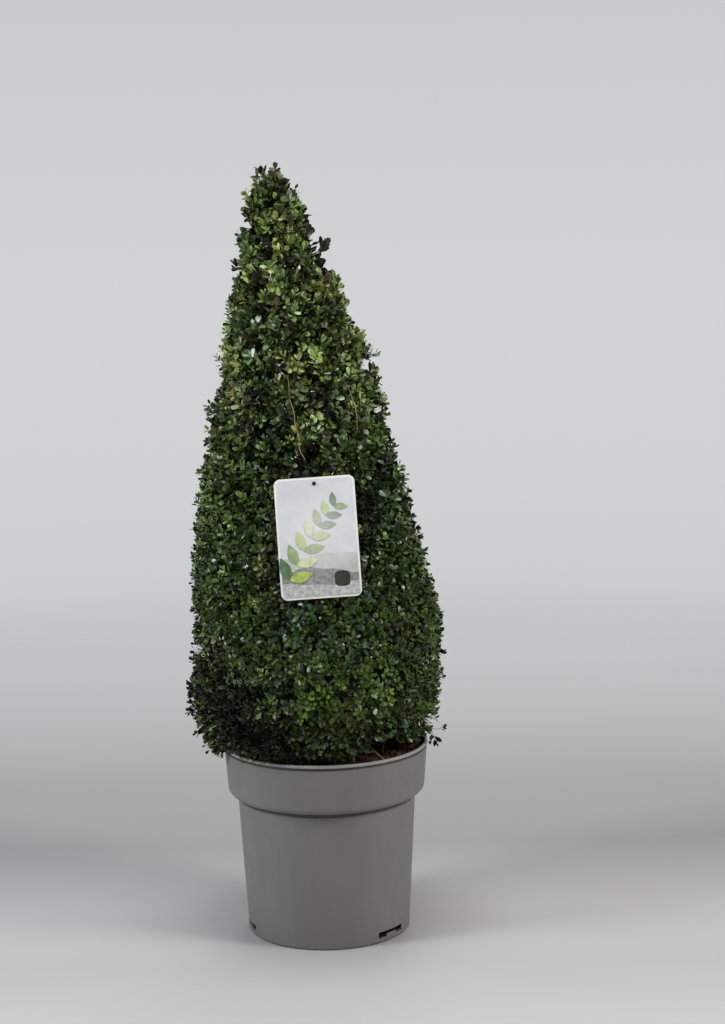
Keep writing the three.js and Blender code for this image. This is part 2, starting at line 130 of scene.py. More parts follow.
# Places where one kind of green gathers: angle in degrees, height and reach in mm, and strength.
PATCHES = {
    "fresh": (
        (-88, 903, 36, 7), (-35, 809, 24, 5), (-97, 687, 20, 4), (-27, 670, 30, 5), (-150, 600, 50, 4),
        (-140, 540, 40, 4), (-61, 376, 28, 5), (-79, 340, 34, 4), (-84, 358, 30, 3)),
    "lime": ((-90, 900, 20, 1.5), (-54, 337, 20, 2)),
    "olive": (
        (-47, 929, 20, 3), (-28, 857, 26, 5), (-87, 761, 20, 4), (-91, 714, 16, 3), (-145, 657, 40, 6),
        (-73, 320, 20, 4), (-112, 258, 12, 5)),
    "cool": ((-85, 432, 40, 7), (-119, 645, 30, 9), (-52, 570, 26, 9), (-41, 612, 30, 8)),
    # Painted shade: near-black leaves in hollows, above the label and along the crown's foot at the front left.
    "shade": (
        (-114, 679, 20, 10), (-52, 599, 30, 12), (-75, 700, 18, 3), (-90, 633, 16, 4), (-143, 313, 44, 30),
        (-131, 292, 40, 40), (-117, 284, 34, 26), (-103, 277, 22, 12), (-88, 266, 18, 6), (-72, 268, 18, 5)),
    "bronze": ((-113, 728, 24, 5), (-98, 835, 18, 7), (-152, 346, 50, 7), (-58, 280, 18, 4)),
    "straw": ((-91, 660, 14, 4), (-127, 262, 16, 9)),
}

# Where the clipped surface swells or sinks: angle in degrees, height, reach and rise in mm.
RELIEF = (
    (176, 500, 80, 7), (-5, 890, 34, -13), (-6, 742, 24, -9), (-14, 700, 16, -7), (-22, 560, 50, 4),
    (-10, 400, 50, 5), (-114, 679, 24, -8), (-90, 640, 28, -3), (-91, 485, 42, 17), (-90, 545, 40, 8),
)

# Openings through which the pale backdrop shows from the camera: x, height and radius in mm.
SKY_GAPS = (
    (-83.3, 930.6, 4.4), (-19.3, 875.0, 2.6), (43.7, 819.0, 3.8), (59.5, 749.1, 5.0),
    (75.5, 690.0, 3.8), (-165.1, 378.2, 5.0), (119.4, 272.4, 6.0), (137.3, 276.9, 7.2),
)

# Old stems that show on the crown: angle and height of the top, then of the foot, in degrees and mm.
UPRIGHT_STEMS = ((-95, 744, -88, 630), (-51, 738, -49, 664))

# The thin stretch of the crown's foot: from and to an angle in degrees, below a height in metres, and the
# share of shoots left there.
CLEARING = (-66, -24, 0.298)
CLEARING_SHARE = 0.25

# Shoots that stand out of the clipped surface: tip and leaf length in mm, kind, lean to the right in
# degrees, and how wide the leaves open.
STRAYS = (
    (-67, -20, 999, 16, "shade", -11, 0.8), (-47, -22, 1000, 16, "bronze", 9, 0.8),
    (-56, -12, 990, 12, "mid", 0, 1.1), (-76, -20, 972, 11, "deep", -56, 1.0),
    (-26, -15, 966, 12, "bronze", 61, 1.0), (10, -34, 905, 19, "shade", 3, 0.24),
    (5, -34, 887, 14, "shade", 17, 0.45), (-103, -12, 877, 10, "shade", -84, 0.8),
    (-101, -16, 884, 10, "shade", -11, 0.6), (-97, -10, 918, 8, "shade", -79, 0.8),
    (55, -10, 781.5, 14, "mid", 76, 0.6), (71, -10, 744, 15, "deep", 37, 0.9),
    (82, -5, 703, 13, "deep", 29, 0.9), (89, -5, 683, 12, "mid", 66, 0.9),
    (-127, -10, 711, 11, "deep", -37, 0.9), (-117, -12, 776, 10, "mid", -58, 1.0),
    (156, -20, 373, 10, "shade", 73, 0.8), (155, -20, 340, 10, "bronze", 84, 0.8),
    (157, -30, 274.5, 7.5, "shade", 61, 0.7), (145, -20, 250, 11, "shade", 174, 0.7),
    (138, -30, 256, 10, "deep", -163, 0.8), (-176, -30, 339, 10, "shade", -79, 0.8),
    (-177, -40, 304, 10, "shade", -98, 0.8), (-167, -50, 277, 10, "shade", -107, 0.8),
    (-150, -60, 256, 11, "shade", -158, 0.8), (-140, -70, 250, 10, "bronze", -174, 0.9),
    (-92, -74, 263, 9, "straw", -70, 1.2), (-82, -86, 261, 9, "straw", -110, 1.2),
    (-62, -102, 261, 8, "straw", 100, 1.2),
)

# Leaves are small and dense low down, where the cone is clipped most: heights in m, and lengths in mm.
LEAF_HEIGHTS = (0.25, 0.45, 0.60, 0.80, 0.95)
LEAF_LENGTHS = (10.2, 10.2, 11.0, 12.2, 13.0)

# Leaf outlines: rows of vertices from base to tip, each its place along the leaf and its share of the width.
FULL_LEAF = ((0.24, 0.58), (0.56, 1.0), (0.87, 0.72))
PLAIN_LEAF = ((0.3, 0.8), (0.78, 0.85))
SMALLEST_LEAF = ((0.55, 1.0),)

# Leaf pairs down a shoot: places in leaf lengths from its tip, their spread in degrees, and their size.
LADDER = (0.05, 0.34, 0.74, 1.22, 1.78, 2.4)
LADDER_SPREAD = (24, 44, 58, 66, 72, 78)
LADDER_SIZE = (0.62, 0.9, 1.0, 1.0, 0.92, 0.85)
SHADE_LADDER = (0.1, 0.6, 1.1, 1.6, 2.1, 2.6, 3.1, 3.7, 4.3)

# Label, in millimetres, on the plane of the CAD card. Inks: colour, contrast and scale of the mottle.
TAG_WIDTH, TAG_HEIGHT, TAG_CORNER, TAG_THICKNESS = 100, 150, 8, 0.5
TAG_HOLE, TAG_HOLE_RADIUS = (0, 67), 2.6
TAG_CENTRE = np.array([-1, -145.5, 546.5]) * MM
TAG_LEAN, TAG_TURN = math.radians(10), math.radians(3)
TAG_AXES = np.array(
    Matrix.Rotation(math.pi / 2 - TAG_LEAN, 3, "X") @ Matrix.Rotation(TAG_TURN, 3, "Z")).T
TAG_CURL = 1.6
PRINT_LIFT, PRINT_MARGIN = 0.12, 2.5
INKS = {
    "card": ((236, 236, 234), 0.045, 55), "sky": ((210, 213, 218), 0.10, 34),
    "haze": ((192, 196, 193), 0.14, 70), "path": ((140, 143, 141), 0.42, 260),
    "gravel": ((182, 185, 184), 0.30, 190), "pine": ((88, 118, 82), 0.38, 170),
    "moss": ((128, 154, 82), 0.34, 170), "lime": ((170, 190, 92), 0.26, 150),
    "pale": ((206, 214, 166), 0.16, 120), "dark": ((58, 50, 48), 0.3, 120),
}

# Room that leaves keep clear of, in millimetres: from behind the label to far in front of it, from inside
# the pot's wall to outside it, and over the front of the rim, past a radius and below a height.
CLEARANCE = 1.5
TAG_ROOM = (-3.2, 70)
WALL_ROOM = (128, 137)
RIM_ROOM = (124, 262)

# Tones on screen: the floor's by its place from front to back, with painted shade behind the object, and the
# backdrop's by its height.
FLOOR_TONES = (
    (-0.35, 178), (-0.16, 169), (0.06, 173), (0.35, 146), (0.7, 156), (1.1, 176), (1.6, 193), (2.6, 204))
# The backdrop's tones are painted light: it glows, brightest near the horizon.
DOME_TONES = (
    (-3.0, 197), (-2.06, 203), (-1.6, 206), (-1.1, 209), (0.26, 211), (1.17, 208), (2.1, 204), (2.6, 201))

# Softboxes: place, size, power in watts and colour.
SOFTBOXES = {
    "right": ((2.3, -1.02, 2.0), (0.7, 1.0), 51.5, (1.0, 0.97, 0.93)),
    "left": ((-2.3, -0.92, 1.9), (0.7, 1.0), 52, (0.95, 0.975, 1.0)),
    "top": ((0.0, -0.2, 2.9), (1.0, 1.0), 34, (1.0, 1.0, 1.0)),
    "behind": ((0.4, 2.6, 2.2), (1.2, 1.0), 16, (0.97, 0.98, 1.0)),
}

# Camera, 2.65 m in front: place, lens in millimetres, look down and roll in degrees.
CAMERA_PLACE = np.array([0.0548, -2.650, 0.9409])
CAMERA_LENS, CAMERA_DOWN, CAMERA_ROLL = 72.13, 8.257, -1.10


# ---- Small tools ----

def unit(vectors):
    return vectors / np.maximum(np.linalg.norm(vectors, axis=-1, keepdims=True), 1e-12)


def square_to(axes):
    """Two unit vectors at right angles to each axis and to each other."""
    side = unit(np.cross(np.where(np.abs(axes[..., 2:3]) > 0.9, RIGHT, UP), axes))
    return side, np.cross(axes, side)


def level(angle):
    """Unit vectors (n, 3) in the level plane at angles from +X."""
    return np.stack([np.cos(angle), np.sin(angle), np.zeros(np.shape(angle))], axis=-1)


def wander(points, wavelength, seed):
    """A smooth random field of about -1 to 1 over points, with lumps of about that wavelength."""
    rng = np.random.default_rng(seed)
    waves = unit(rng.normal(size=(9, 3))) * (TURN / wavelength) * rng.uniform(0.7, 1.4, (9, 1))
    phases = rng.uniform(0, TURN, 9)
    return np.sin(points @ waves.T + phases).sum(axis=-1) / 3


def wobble(points, reach, wavelength, seed):
    """Smooth random shifts of points by about that reach."""
    return reach * np.stack([wander(points, wavelength, seed + axis) for axis in range(3)], axis=-1)


def srgb(red, green, blue):
    """A colour given as 0 to 255 on screen, as the linear colour that shaders take."""
    screen = np.array([red, green, blue]) / 255
    linear = np.where(screen <= 0.04045, screen / 12.92, ((screen + 0.055) / 1.055) ** 2.4)
    return (*linear.tolist(), 1.0)


def shaded(colour, factor):
    """A linear colour made lighter or darker."""
    return (*[min(1.0, c * factor) for c in colour[:3]], 1.0)


def new_object(name, points, faces, material=None):
    """A smooth mesh. Faces are a list of arrays, each of faces with one number of corners."""
    mesh = bpy.data.meshes.new(name)
    mesh.from_pydata(points.tolist(), [], [face for block in faces for face in block.tolist()])
    mesh.shade_smooth()
    mesh.materials.append(material)
    made = bpy.data.objects.new(name, mesh)
    bpy.context.collection.objects.link(made)
    return made


def new_piece(name, points, faces, material, slot, replaced=()):
    """A mesh on the root body, in place of CAD nodes. Its slot is not used."""
    piece = new_object(name, points, faces, material)
    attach(piece, "root")
    if replaced:
        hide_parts(*replaced)
    return piece


def joined(parts):
    """Several (points, faces) pairs as one."""
    firsts = np.cumsum([0] + [len(points) for points, _ in parts])
    faces = [block + first for (_, blocks), first in zip(parts, firsts) for block in blocks]
    return np.concatenate([points for points, _ in parts]), faces


def ringed(rings):
    """Closed solids through rings (solids, rings, corners, 3): the walls between rings and two caps."""
    index = np.arange(rings[..., 0].size).reshape(rings.shape[:3])
    closed = np.concatenate([index, index[..., :1]], axis=2)
    walls = [closed[:, :-1, :-1], closed[:, :-1, 1:], closed[:, 1:, 1:], closed[:, 1:, :-1]]
    caps = np.concatenate([index[:, 0, ::-1], index[:, -1]])
    return rings.reshape(-1, 3), [np.stack(walls, -1).reshape(-1, 4), caps]


def tubes(paths, radii, sides):
    """Closed tapering tubes along many paths at once: paths (n, steps, 3) and radii (n, steps)."""
    tangents = unit(np.gradient(paths, axis=1))
    side = square_to(unit(tangents.mean(axis=1)))[0][:, None]
    side = unit(side - (side * tangents).sum(-1, keepdims=True) * tangents)
    other = np.cross(tangents, side)
    angles = np.arange(sides)[:, None] * TURN / sides
    ring = np.cos(angles) * side[:, :, None] + np.sin(angles) * other[:, :, None]
    return ringed(paths[:, :, None] + radii[..., None, None] * ring)


def lathe(profile, segments):
    """A turned solid from a profile in millimetres that starts and ends on the axis."""
    rings = profile[1:-1, None]
    around = level(np.arange(segments) * TURN / segments)
    return ringed((rings[..., :1] * around + rings[..., 1:] * UP)[None] * MM)


def curve(start, middle, end, t):
    """Points of a quadratic curve at shares t of its way."""
    return (1 - t) ** 2 * start + 2 * t * (1 - t) * middle + t**2 * end


def bezier(start, middle, end, steps):
    """Quadratic curves (n, steps, 3) from arrays of their three points."""
    return curve(start[:, None], middle[:, None], end[:, None], np.linspace(0, 1, steps)[:, None])


def carve(piece, blocks):
    """Cuts closed blocks, each its points and faces, out of a piece."""
    cutters = [new_object("cutter", *block) for block in blocks]
    for cutter in cutters:
        cut = piece.modifiers.new("cut", "BOOLEAN")
        cut.solver, cut.object = "EXACT", cutter
    bpy.context.view_layer.update()
    graph = bpy.context.evaluated_depsgraph_get()
    piece.data = bpy.data.meshes.new_from_object(piece.evaluated_get(graph))
    piece.modifiers.clear()
    piece.data.shade_smooth()
    piece.data.set_sharp_from_angle(angle=SHARP_ANGLE)
    for cutter in cutters:
        bpy.data.objects.remove(cutter)


# ---- Materials ----

class Paint:
    """A procedural material with a Principled shader. Its inputs take sockets or plain values."""

    def __init__(self, name, roughness=0.5, specular=0.5):
        self.material = bpy.data.materials.new(name)
        self.material.use_nodes = True
        self.tree = self.material.node_tree
        self.shader = self.tree.nodes["Principled BSDF"]
        self.coat({"Roughness": roughness, "Specular IOR Level": specular})

    def feed(self, node, inputs):
        for name, value in inputs.items():
            if isinstance(value, bpy.types.NodeSocket):
                self.tree.links.new(value, node.inputs[name])
            else:
                node.inputs[name].default_value = value

    def coat(self, inputs):
        self.feed(self.shader, inputs)

    def show(self, surface):
        self.feed(self.tree.nodes["Material Output"], {"Surface": surface})

    def add(self, kind, inputs, output=0, **settings):
        """A new node, fed. Returns one of its outputs."""
        node = self.tree.nodes.new("ShaderNode" + kind)
        for name, value in settings.items():
            setattr(node, name, value)
        self.feed(node, inputs)
        return node.outputs[output]

    def place(self, stretch=1.0):
        """Object coordinates, with the pattern drawn out upwards by stretch below 1."""
        where = self.add("TexCoord", {}, "Object")
        return self.add("Mapping", {"Vector": where, "Scale": (1, 1, stretch)})

    def axis(self, name):
        return self.add("SeparateXYZ", {"Vector": self.place()}, name)

    def noise(self, where, scale, detail=3.0, roughness=0.55):
        inputs = {"Vector": where, "Scale": scale, "Detail": detail, "Roughness": roughness}
        return self.add("TexNoise", inputs, "Fac")

    def remap(self, value, low, high, to_low, to_high):
        inputs = {"Value": value, "From Min": low, "From Max": high, "To Min": to_low, "To Max": to_high}
        return self.add("MapRange", inputs)

    def ramp(self, value, *stops):
        """A colour ramp over value: stops are (place, colour)."""
        colour = self.add("ValToRGB", {"Fac": value})
        elements = colour.node.color_ramp.elements
        while len(elements) < len(stops):
            elements.new(0.5)
        for element, (place, tint) in zip(elements, stops):
            element.position, element.color = place, tint
        return colour

    def mixed(self, factor, first, second, mode="MIX"):
        """Two colours mixed by a factor. A mix node takes colours at 6 and 7 and gives one at 2."""
        return self.add("Mix", {0: factor, 6: first, 7: second}, 2, data_type="RGBA", blend_type=mode)

    def bump(self, height, distance, strength=1.0, **below):
        normal = self.add("Bump", {"Height": height, "Distance": distance, "Strength": strength, **below})
        self.coat({"Normal": normal})
        return normal


@cache
def leaf_material(kind, young):
    """A waxy leaf: mottled green with a fine uneven gloss. A young one is lighter, and greyer with a painted
    sheen.
    """
    screen, roughness, specular = GREENS[kind]
    colour = srgb(*screen)
    # Lighter as young growth is, and greyer with a painted sheen.
    if young:
        linear = np.array(colour[:3])
        colour = (*(YOUNG_TINT * (linear + YOUNG_PAINTED_SHEEN * (linear @ LUMINANCE - linear))).tolist(), 1.0)
    paint = Paint(f"young_leaf_{kind}" if young else f"leaf_{kind}", roughness, specular)
    place = paint.place()
    mottle, fine = paint.noise(place, 260, 2), paint.noise(place, 900, 2)
    paint.coat({
        "Base Color": paint.ramp(mottle, (0.3, shaded(colour, 0.72)), (0.7, shaded(colour, 1.3))),
        "Roughness": paint.remap(fine, 0.3, 0.7, roughness - 0.07, roughness + 0.1)})
    paint.bump(fine, 0.12 * MM)
    return paint.material


@cache
def bark_material(name):
    """Bark with stretched fissures and small pale plates."""
    dark, pale, scale = WOODS[name]
    paint = Paint(name, 0.85, 0.25)
    place = paint.place(0.28)
    fissures, flecks = paint.noise(place, scale, 6, 0.65), paint.noise(place, scale * 4, 3)
    tint = paint.ramp(fissures, (0.35, srgb(*dark)), (0.62, srgb(*pale)))
    paint.coat({"Base Color": paint.mixed(flecks, tint, shaded(srgb(*pale), 0.8))})
    paint.bump(fissures, 0.6 * MM)
    return paint.material


def wood_piece(name, solid, wood, replaced=()):
    new_piece(name, *solid, bark_material(wood), "bark", replaced)


def soil_material(name, dark, pale):
    """Peat: near black with reddish brown crumbs, and painted darker deep in the pot as shade."""
    paint = Paint(name, 0.92, 0.25)
    place = paint.place()
    clods, grit = paint.noise(place, 160, 6, 0.7), paint.noise(place, 700, 4, 0.7)
    tint = paint.ramp(clods, (0.34, srgb(*dark)), (0.66, srgb(*pale)))
    # Painted shade: darker towards the pot's floor, where the drain slots show the soil.
    painted_floor_shade = paint.remap(paint.axis("Z"), 30 * MM, 200 * MM, 0.9, 0)
    paint.coat({"Base Color": paint.mixed(painted_floor_shade, tint, srgb(12, 9, 7))})
    paint.bump(grit, 0.9 * MM)
    return paint.material


def pot_material():
    """Matt recycled plastic: fine grain, flow marks and scuffs at the lip, collar and foot, painted shade in
    the grooves under the lip and the collar and along the foot, and a painted highlight on the lip's top.
    """
    grey = srgb(118, 116, 115)
    white, black, painted_shade, painted_highlight = ((tone, tone, tone, 1) for tone in (1, 0, 0.3, 1.7))
    paint = Paint("pot_plastic")
    place = paint.place()
    clouds, flow = paint.noise(place, 14, 4), paint.noise(paint.place(0.12), 90, 3)
    tint = paint.mixed(
        0.35, paint.ramp(clouds, (0.3, shaded(grey, 0.94)), (0.7, shaded(grey, 1.05))),
        paint.ramp(flow, (0.35, shaded(grey, 0.93)), (0.65, shaded(grey, 1.06))))
    height = paint.remap(paint.axis("Z"), 0, POT_HEIGHT * MM, 0, 1)
    edges = paint.ramp(
        height, (0.0, white), (0.035, black), (0.73, black), (0.745, white), (0.79, black), (0.93, black),
        (1.0, white))
    worn = paint.ramp(paint.noise(place, 230, 5, 0.7), (0.56, black), (0.68, white))
    dusty = paint.mixed(0.45, tint, shaded(grey, 1.45))
    tint = paint.mixed(paint.mixed(1.0, edges, worn, "MULTIPLY"), tint, dusty)
    # Painted shade: dark bands in the groove under the lip, under the collar and along the foot. Painted
    # highlight: a lighter band on the lip's top.
    shade_and_highlight = paint.ramp(
        height, (0.0, painted_shade), (0.012, white), (0.704, white), (0.718, painted_shade), (0.7345, painted_shade),
        (0.7365, white), (0.968, white), (0.973, painted_shade), (0.9815, painted_shade), (0.985, white), (0.986, painted_highlight))
    paint.coat({
        "Base Color": paint.mixed(1.0, tint, shade_and_highlight, "MULTIPLY"),
        "Roughness": paint.remap(paint.noise(place, 38, 4), 0.3, 0.7, 0.44, 0.6)})
    grain = paint.bump(paint.noise(place, 1500, 2), 0.05 * MM, 0.6)
    paint.bump(flow, 0.08 * MM, 0.5, Normal=grain)
    return paint.material


@cache
def print_material(ink):
    """Soft printed colour: a blurred mottle, paler towards the middle of the card, under varnish."""
    screen, contrast, scale = INKS[ink]
    colour = srgb(*screen)
    paint = Paint(f"ink_{ink}")
    place = paint.place()
    blur = paint.noise(place, scale, 4, 0.6)
    tint = paint.ramp(
        blur, (0.32, shaded(colour, 1 - contrast)), (0.5, colour), (0.68, shaded(colour, 1 + contrast)))
    glow_centre = TAG_CENTRE + UP * 12 * MM
    away = paint.add("VectorMath", {0: place, 1: glow_centre}, "Value", operation="DISTANCE")
    glow = paint.remap(away, 10 * MM, 60 * MM, 0.5, 0)
    paint.coat({
        "Base Color": paint.mixed(glow, tint, srgb(238, 239, 236)),
        "Roughness": paint.remap(paint.noise(place, 30, 3), 0.3, 0.7, 0.28, 0.42)})
    paint.bump(blur, 0.08 * MM, 0.4)
    return paint.material


# ---- Pot ----

def filleted(corners, steps=5):
    """A profile in millimetres with rounded corners: each corner is (radius, height, rounding)."""
    places = [np.array(corner[:2], float) for corner in corners]
    points = [places[0]]
    for before, place, after, (_, _, rounding) in zip(places, places[1:], places[2:], corners[1:]):
        arms = [before - place, after - place]
        reach = min([rounding] + [0.48 * np.linalg.norm(arm) for arm in arms])
        start, end = (place + arm / np.linalg.norm(arm) * reach for arm in arms)
        shares = np.linspace(0, 1, steps) if reach > 0 else [0.0]
        points += [curve(start, place, end, t) for t in shares]
    return np.array(points + [places[-1]])


def pot_profile():
    """From the middle of the underside, up the outside, over the lip and down the inside."""
    floor_z = FOOT_RECESS + POT_WALL
    undercut, groove = SHOULDER_RADIUS - UNDERCUT_DEPTH, COLLAR_TOP_RADIUS - GROOVE_DEPTH
    return filleted([
        (0, 0, 0),
        (FOOT_DISC_RADIUS, 0, 0.6),
        (FOOT_DISC_RADIUS + 1.5, FOOT_RECESS, 0.6),
        (FOOT_RING_INNER - 1.5, FOOT_RECESS, 0.6),
        (FOOT_RING_INNER, 0, 0.8),
        (BASE_RADIUS, 0, 1.8),
        (SHOULDER_RADIUS - 0.4, SHOULDER_Z - 6.2, 0.8),
        (undercut, SHOULDER_Z - 5.0, 0.6),
        (undercut, SHOULDER_Z, 0.3),
        (COLLAR_FOOT_RADIUS, SHOULDER_Z, 0.8),
        (BEND_RADIUS, BEND_Z, 5),
        (ROUND_RADIUS, ROUND_Z, 12),
        (COLLAR_TOP_RADIUS, LIP_FOOT - 3.2, 0.5),
        (groove, LIP_FOOT - 2.6, 0.4),
        (groove, LIP_FOOT - 0.4, 0.4),
        (LIP_RADIUS, LIP_FOOT + 0.1, 0.6),
        (LIP_RADIUS, POT_HEIGHT, 1.9),
        (LIP_INNER_RADIUS, POT_HEIGHT, 1.6),
        (ROUND_RADIUS - POT_WALL, ROUND_Z, 12),
        (BEND_RADIUS - POT_WALL, BEND_Z + POT_WALL, 5),
        (COLLAR_FOOT_RADIUS - POT_WALL, SHOULDER_Z + POT_WALL, 1),
        (SHOULDER_RADIUS - POT_WALL, SHOULDER_Z + POT_WALL, 1),
        (BASE_RADIUS - POT_WALL, floor_z, 3),
        (FOOT_DISC_RADIUS - 0.5, floor_z, 0.6),
        (FOOT_DISC_RADIUS - POT_WALL, POT_WALL, 0.6),
        (0, POT_WALL, 0),
    ])


def slot_block(degrees):
    """A staple-shaped block through the wall's foot: a slot with a low hump in its sill."""
    half, hump, sill = DRAIN_WIDTH / 2, HUMP_WIDTH / 2, DRAIN_LOW + HUMP_HEIGHT
    right = [(hump, sill, 0.8), (hump + 0.5, DRAIN_LOW, 0.8), (half, DRAIN_LOW, 1.2), (half, DRAIN_HIGH, 1.6)]
    left = [(-across, z, rounding) for across, z, rounding in reversed(right)]
    outline = filleted([(0, sill, 0), *right, *left, (-0.01, sill, 0)], 4)
    outward, across = level(math.radians(degrees)), level(math.radians(degrees + 90))
    face = outline[:, :1] * across + outline[:, 1:] * UP
    return ringed(np.array([[face + (BASE_RADIUS + depth) * outward for depth in (-8, 8)]]) * MM)


def make_pot():
    """The turned pot: its wall swells a little here and there, and the drain slots are cut last."""
    points, faces = lathe(pot_profile(), POT_SEGMENTS)
    ring = level(np.arctan2(points[:, 1], points[:, 0]))
    swell = 0.25 * MM * wander(ring + 2 * points[:, 2:] * UP, 2.2, 3) * (points[:, 2] > 2 * MM)
    points += swell[:, None] * ring
    pot = new_piece("nursery_pot", points, faces, pot_material(), "pot_plastic", ["pot"])
    carve(pot, [slot_block(degrees) for degrees in DRAIN_ANGLES])


# ---- Soil ----

def soil_height(points):
    """The height of the soil's surface over points, in metres."""
    flat = points * np.array([1, 1, 0])
    fall = 3.0 * (np.linalg.norm(flat, axis=1) / (COLLAR_TOP_RADIUS * MM)) ** 3
    lumps = 1.3 * wander(flat, 0.055, 11) + 1.0 * wander(flat, 0.019, 12) + 0.6 * wander(flat, 0.008, 13)
    return (SOIL_Z - fall + lumps) * MM


def make_soil():
    """The peat: a thin bed on the pot's floor, drawn in behind the drain slots, and the mass above it."""
    wall = [
        (0, 2.4, 0), (67.6, 2.4, 0), (69, 6.4, 0), (104.6, 6.4, 0), (104.6, 7.2, 0), (96, 8, 2), (97, 19, 2),
        (105.6, 22, 1), (113.8, 180, 1), (113.9, 188.4, 1), (122, 188.4, 1), (127.6, 193, 5),
        (128.6, 205, 8), (130.2, SOIL_Z - 3, 0)]
    top = [[radius, SOIL_Z] for radius in np.linspace(129.8, 1.5, SOIL_RINGS)]
    points, faces = lathe(np.concatenate([filleted(wall, 3), top, [[0, SOIL_Z]]]), SOIL_SEGMENTS)
    upper = points[:, 2] > (SOIL_Z - 1) * MM
    points[upper, 2] = soil_height(points[upper])
    new_piece("soil", points, faces, soil_material("peat", *PEAT), "soil", ["root_ball"])


def make_strewn():
    """Crumbs, bark chips and bits of root that lie on the soil."""
    rng = np.random.default_rng(21)
    for name, (count, inner, outer, shortest, longest, thickness, steepness, dark, pale) in STREWN.items():
        radius = np.sqrt(rng.uniform(inner**2, outer**2, count)) * MM
        places = radius[:, None] * level(rng.uniform(0, TURN, count))
        places[:, 2] = soil_height(places)
        sizes = rng.uniform(shortest, longest, (count, 1)) * MM
        reach = unit(rng.normal(size=(count, 3)) * np.array([1, 1, steepness])) * sizes
        bends = places + rng.normal(size=(count, 3)) * 0.25 * sizes
        radii = sizes * thickness * rng.uniform(0.7, 1.2, (count, 3)) * np.array([0.5, 1, 0.45])
        grains = tubes(bezier(places - reach, bends, places + reach, 3), radii, 4)
        new_piece(name, *grains, soil_material(name, dark, pale), "soil")


def make_dead_twig():
    """The dead twig on the soil at the front right, with two side shoots."""
    steps = 18
    foot, tip = np.array([[0.044, -0.030, 0.264]]), np.array([[0.0765, -0.098, 0.2475]])
    twig = bezier(foot, (foot + tip) / 2 + [[-0.005, 0, 0.004]], tip, steps)
    twig += wobble(twig, 0.5 * MM, 0.02, 31)
    side_shoots = [
        bezier(twig[:, at], twig[:, at] + 0.4 * np.array(reach) + 3 * MM * UP, twig[:, at] + reach, steps)
        for at, reach in ((7, (0.015, -0.010, 0.003)), (12, (-0.012, -0.013, 0.001)))]
    radii = [np.linspace(low, high, steps) * MM for low, high in ((1.5, 2.5), (1.1, 0.5), (1.1, 0.5))]
    wood_piece("dead_twig", tubes(np.concatenate([twig, *side_shoots]), np.array(radii), 9), "dead_wood")


# ---- Crown surface ----

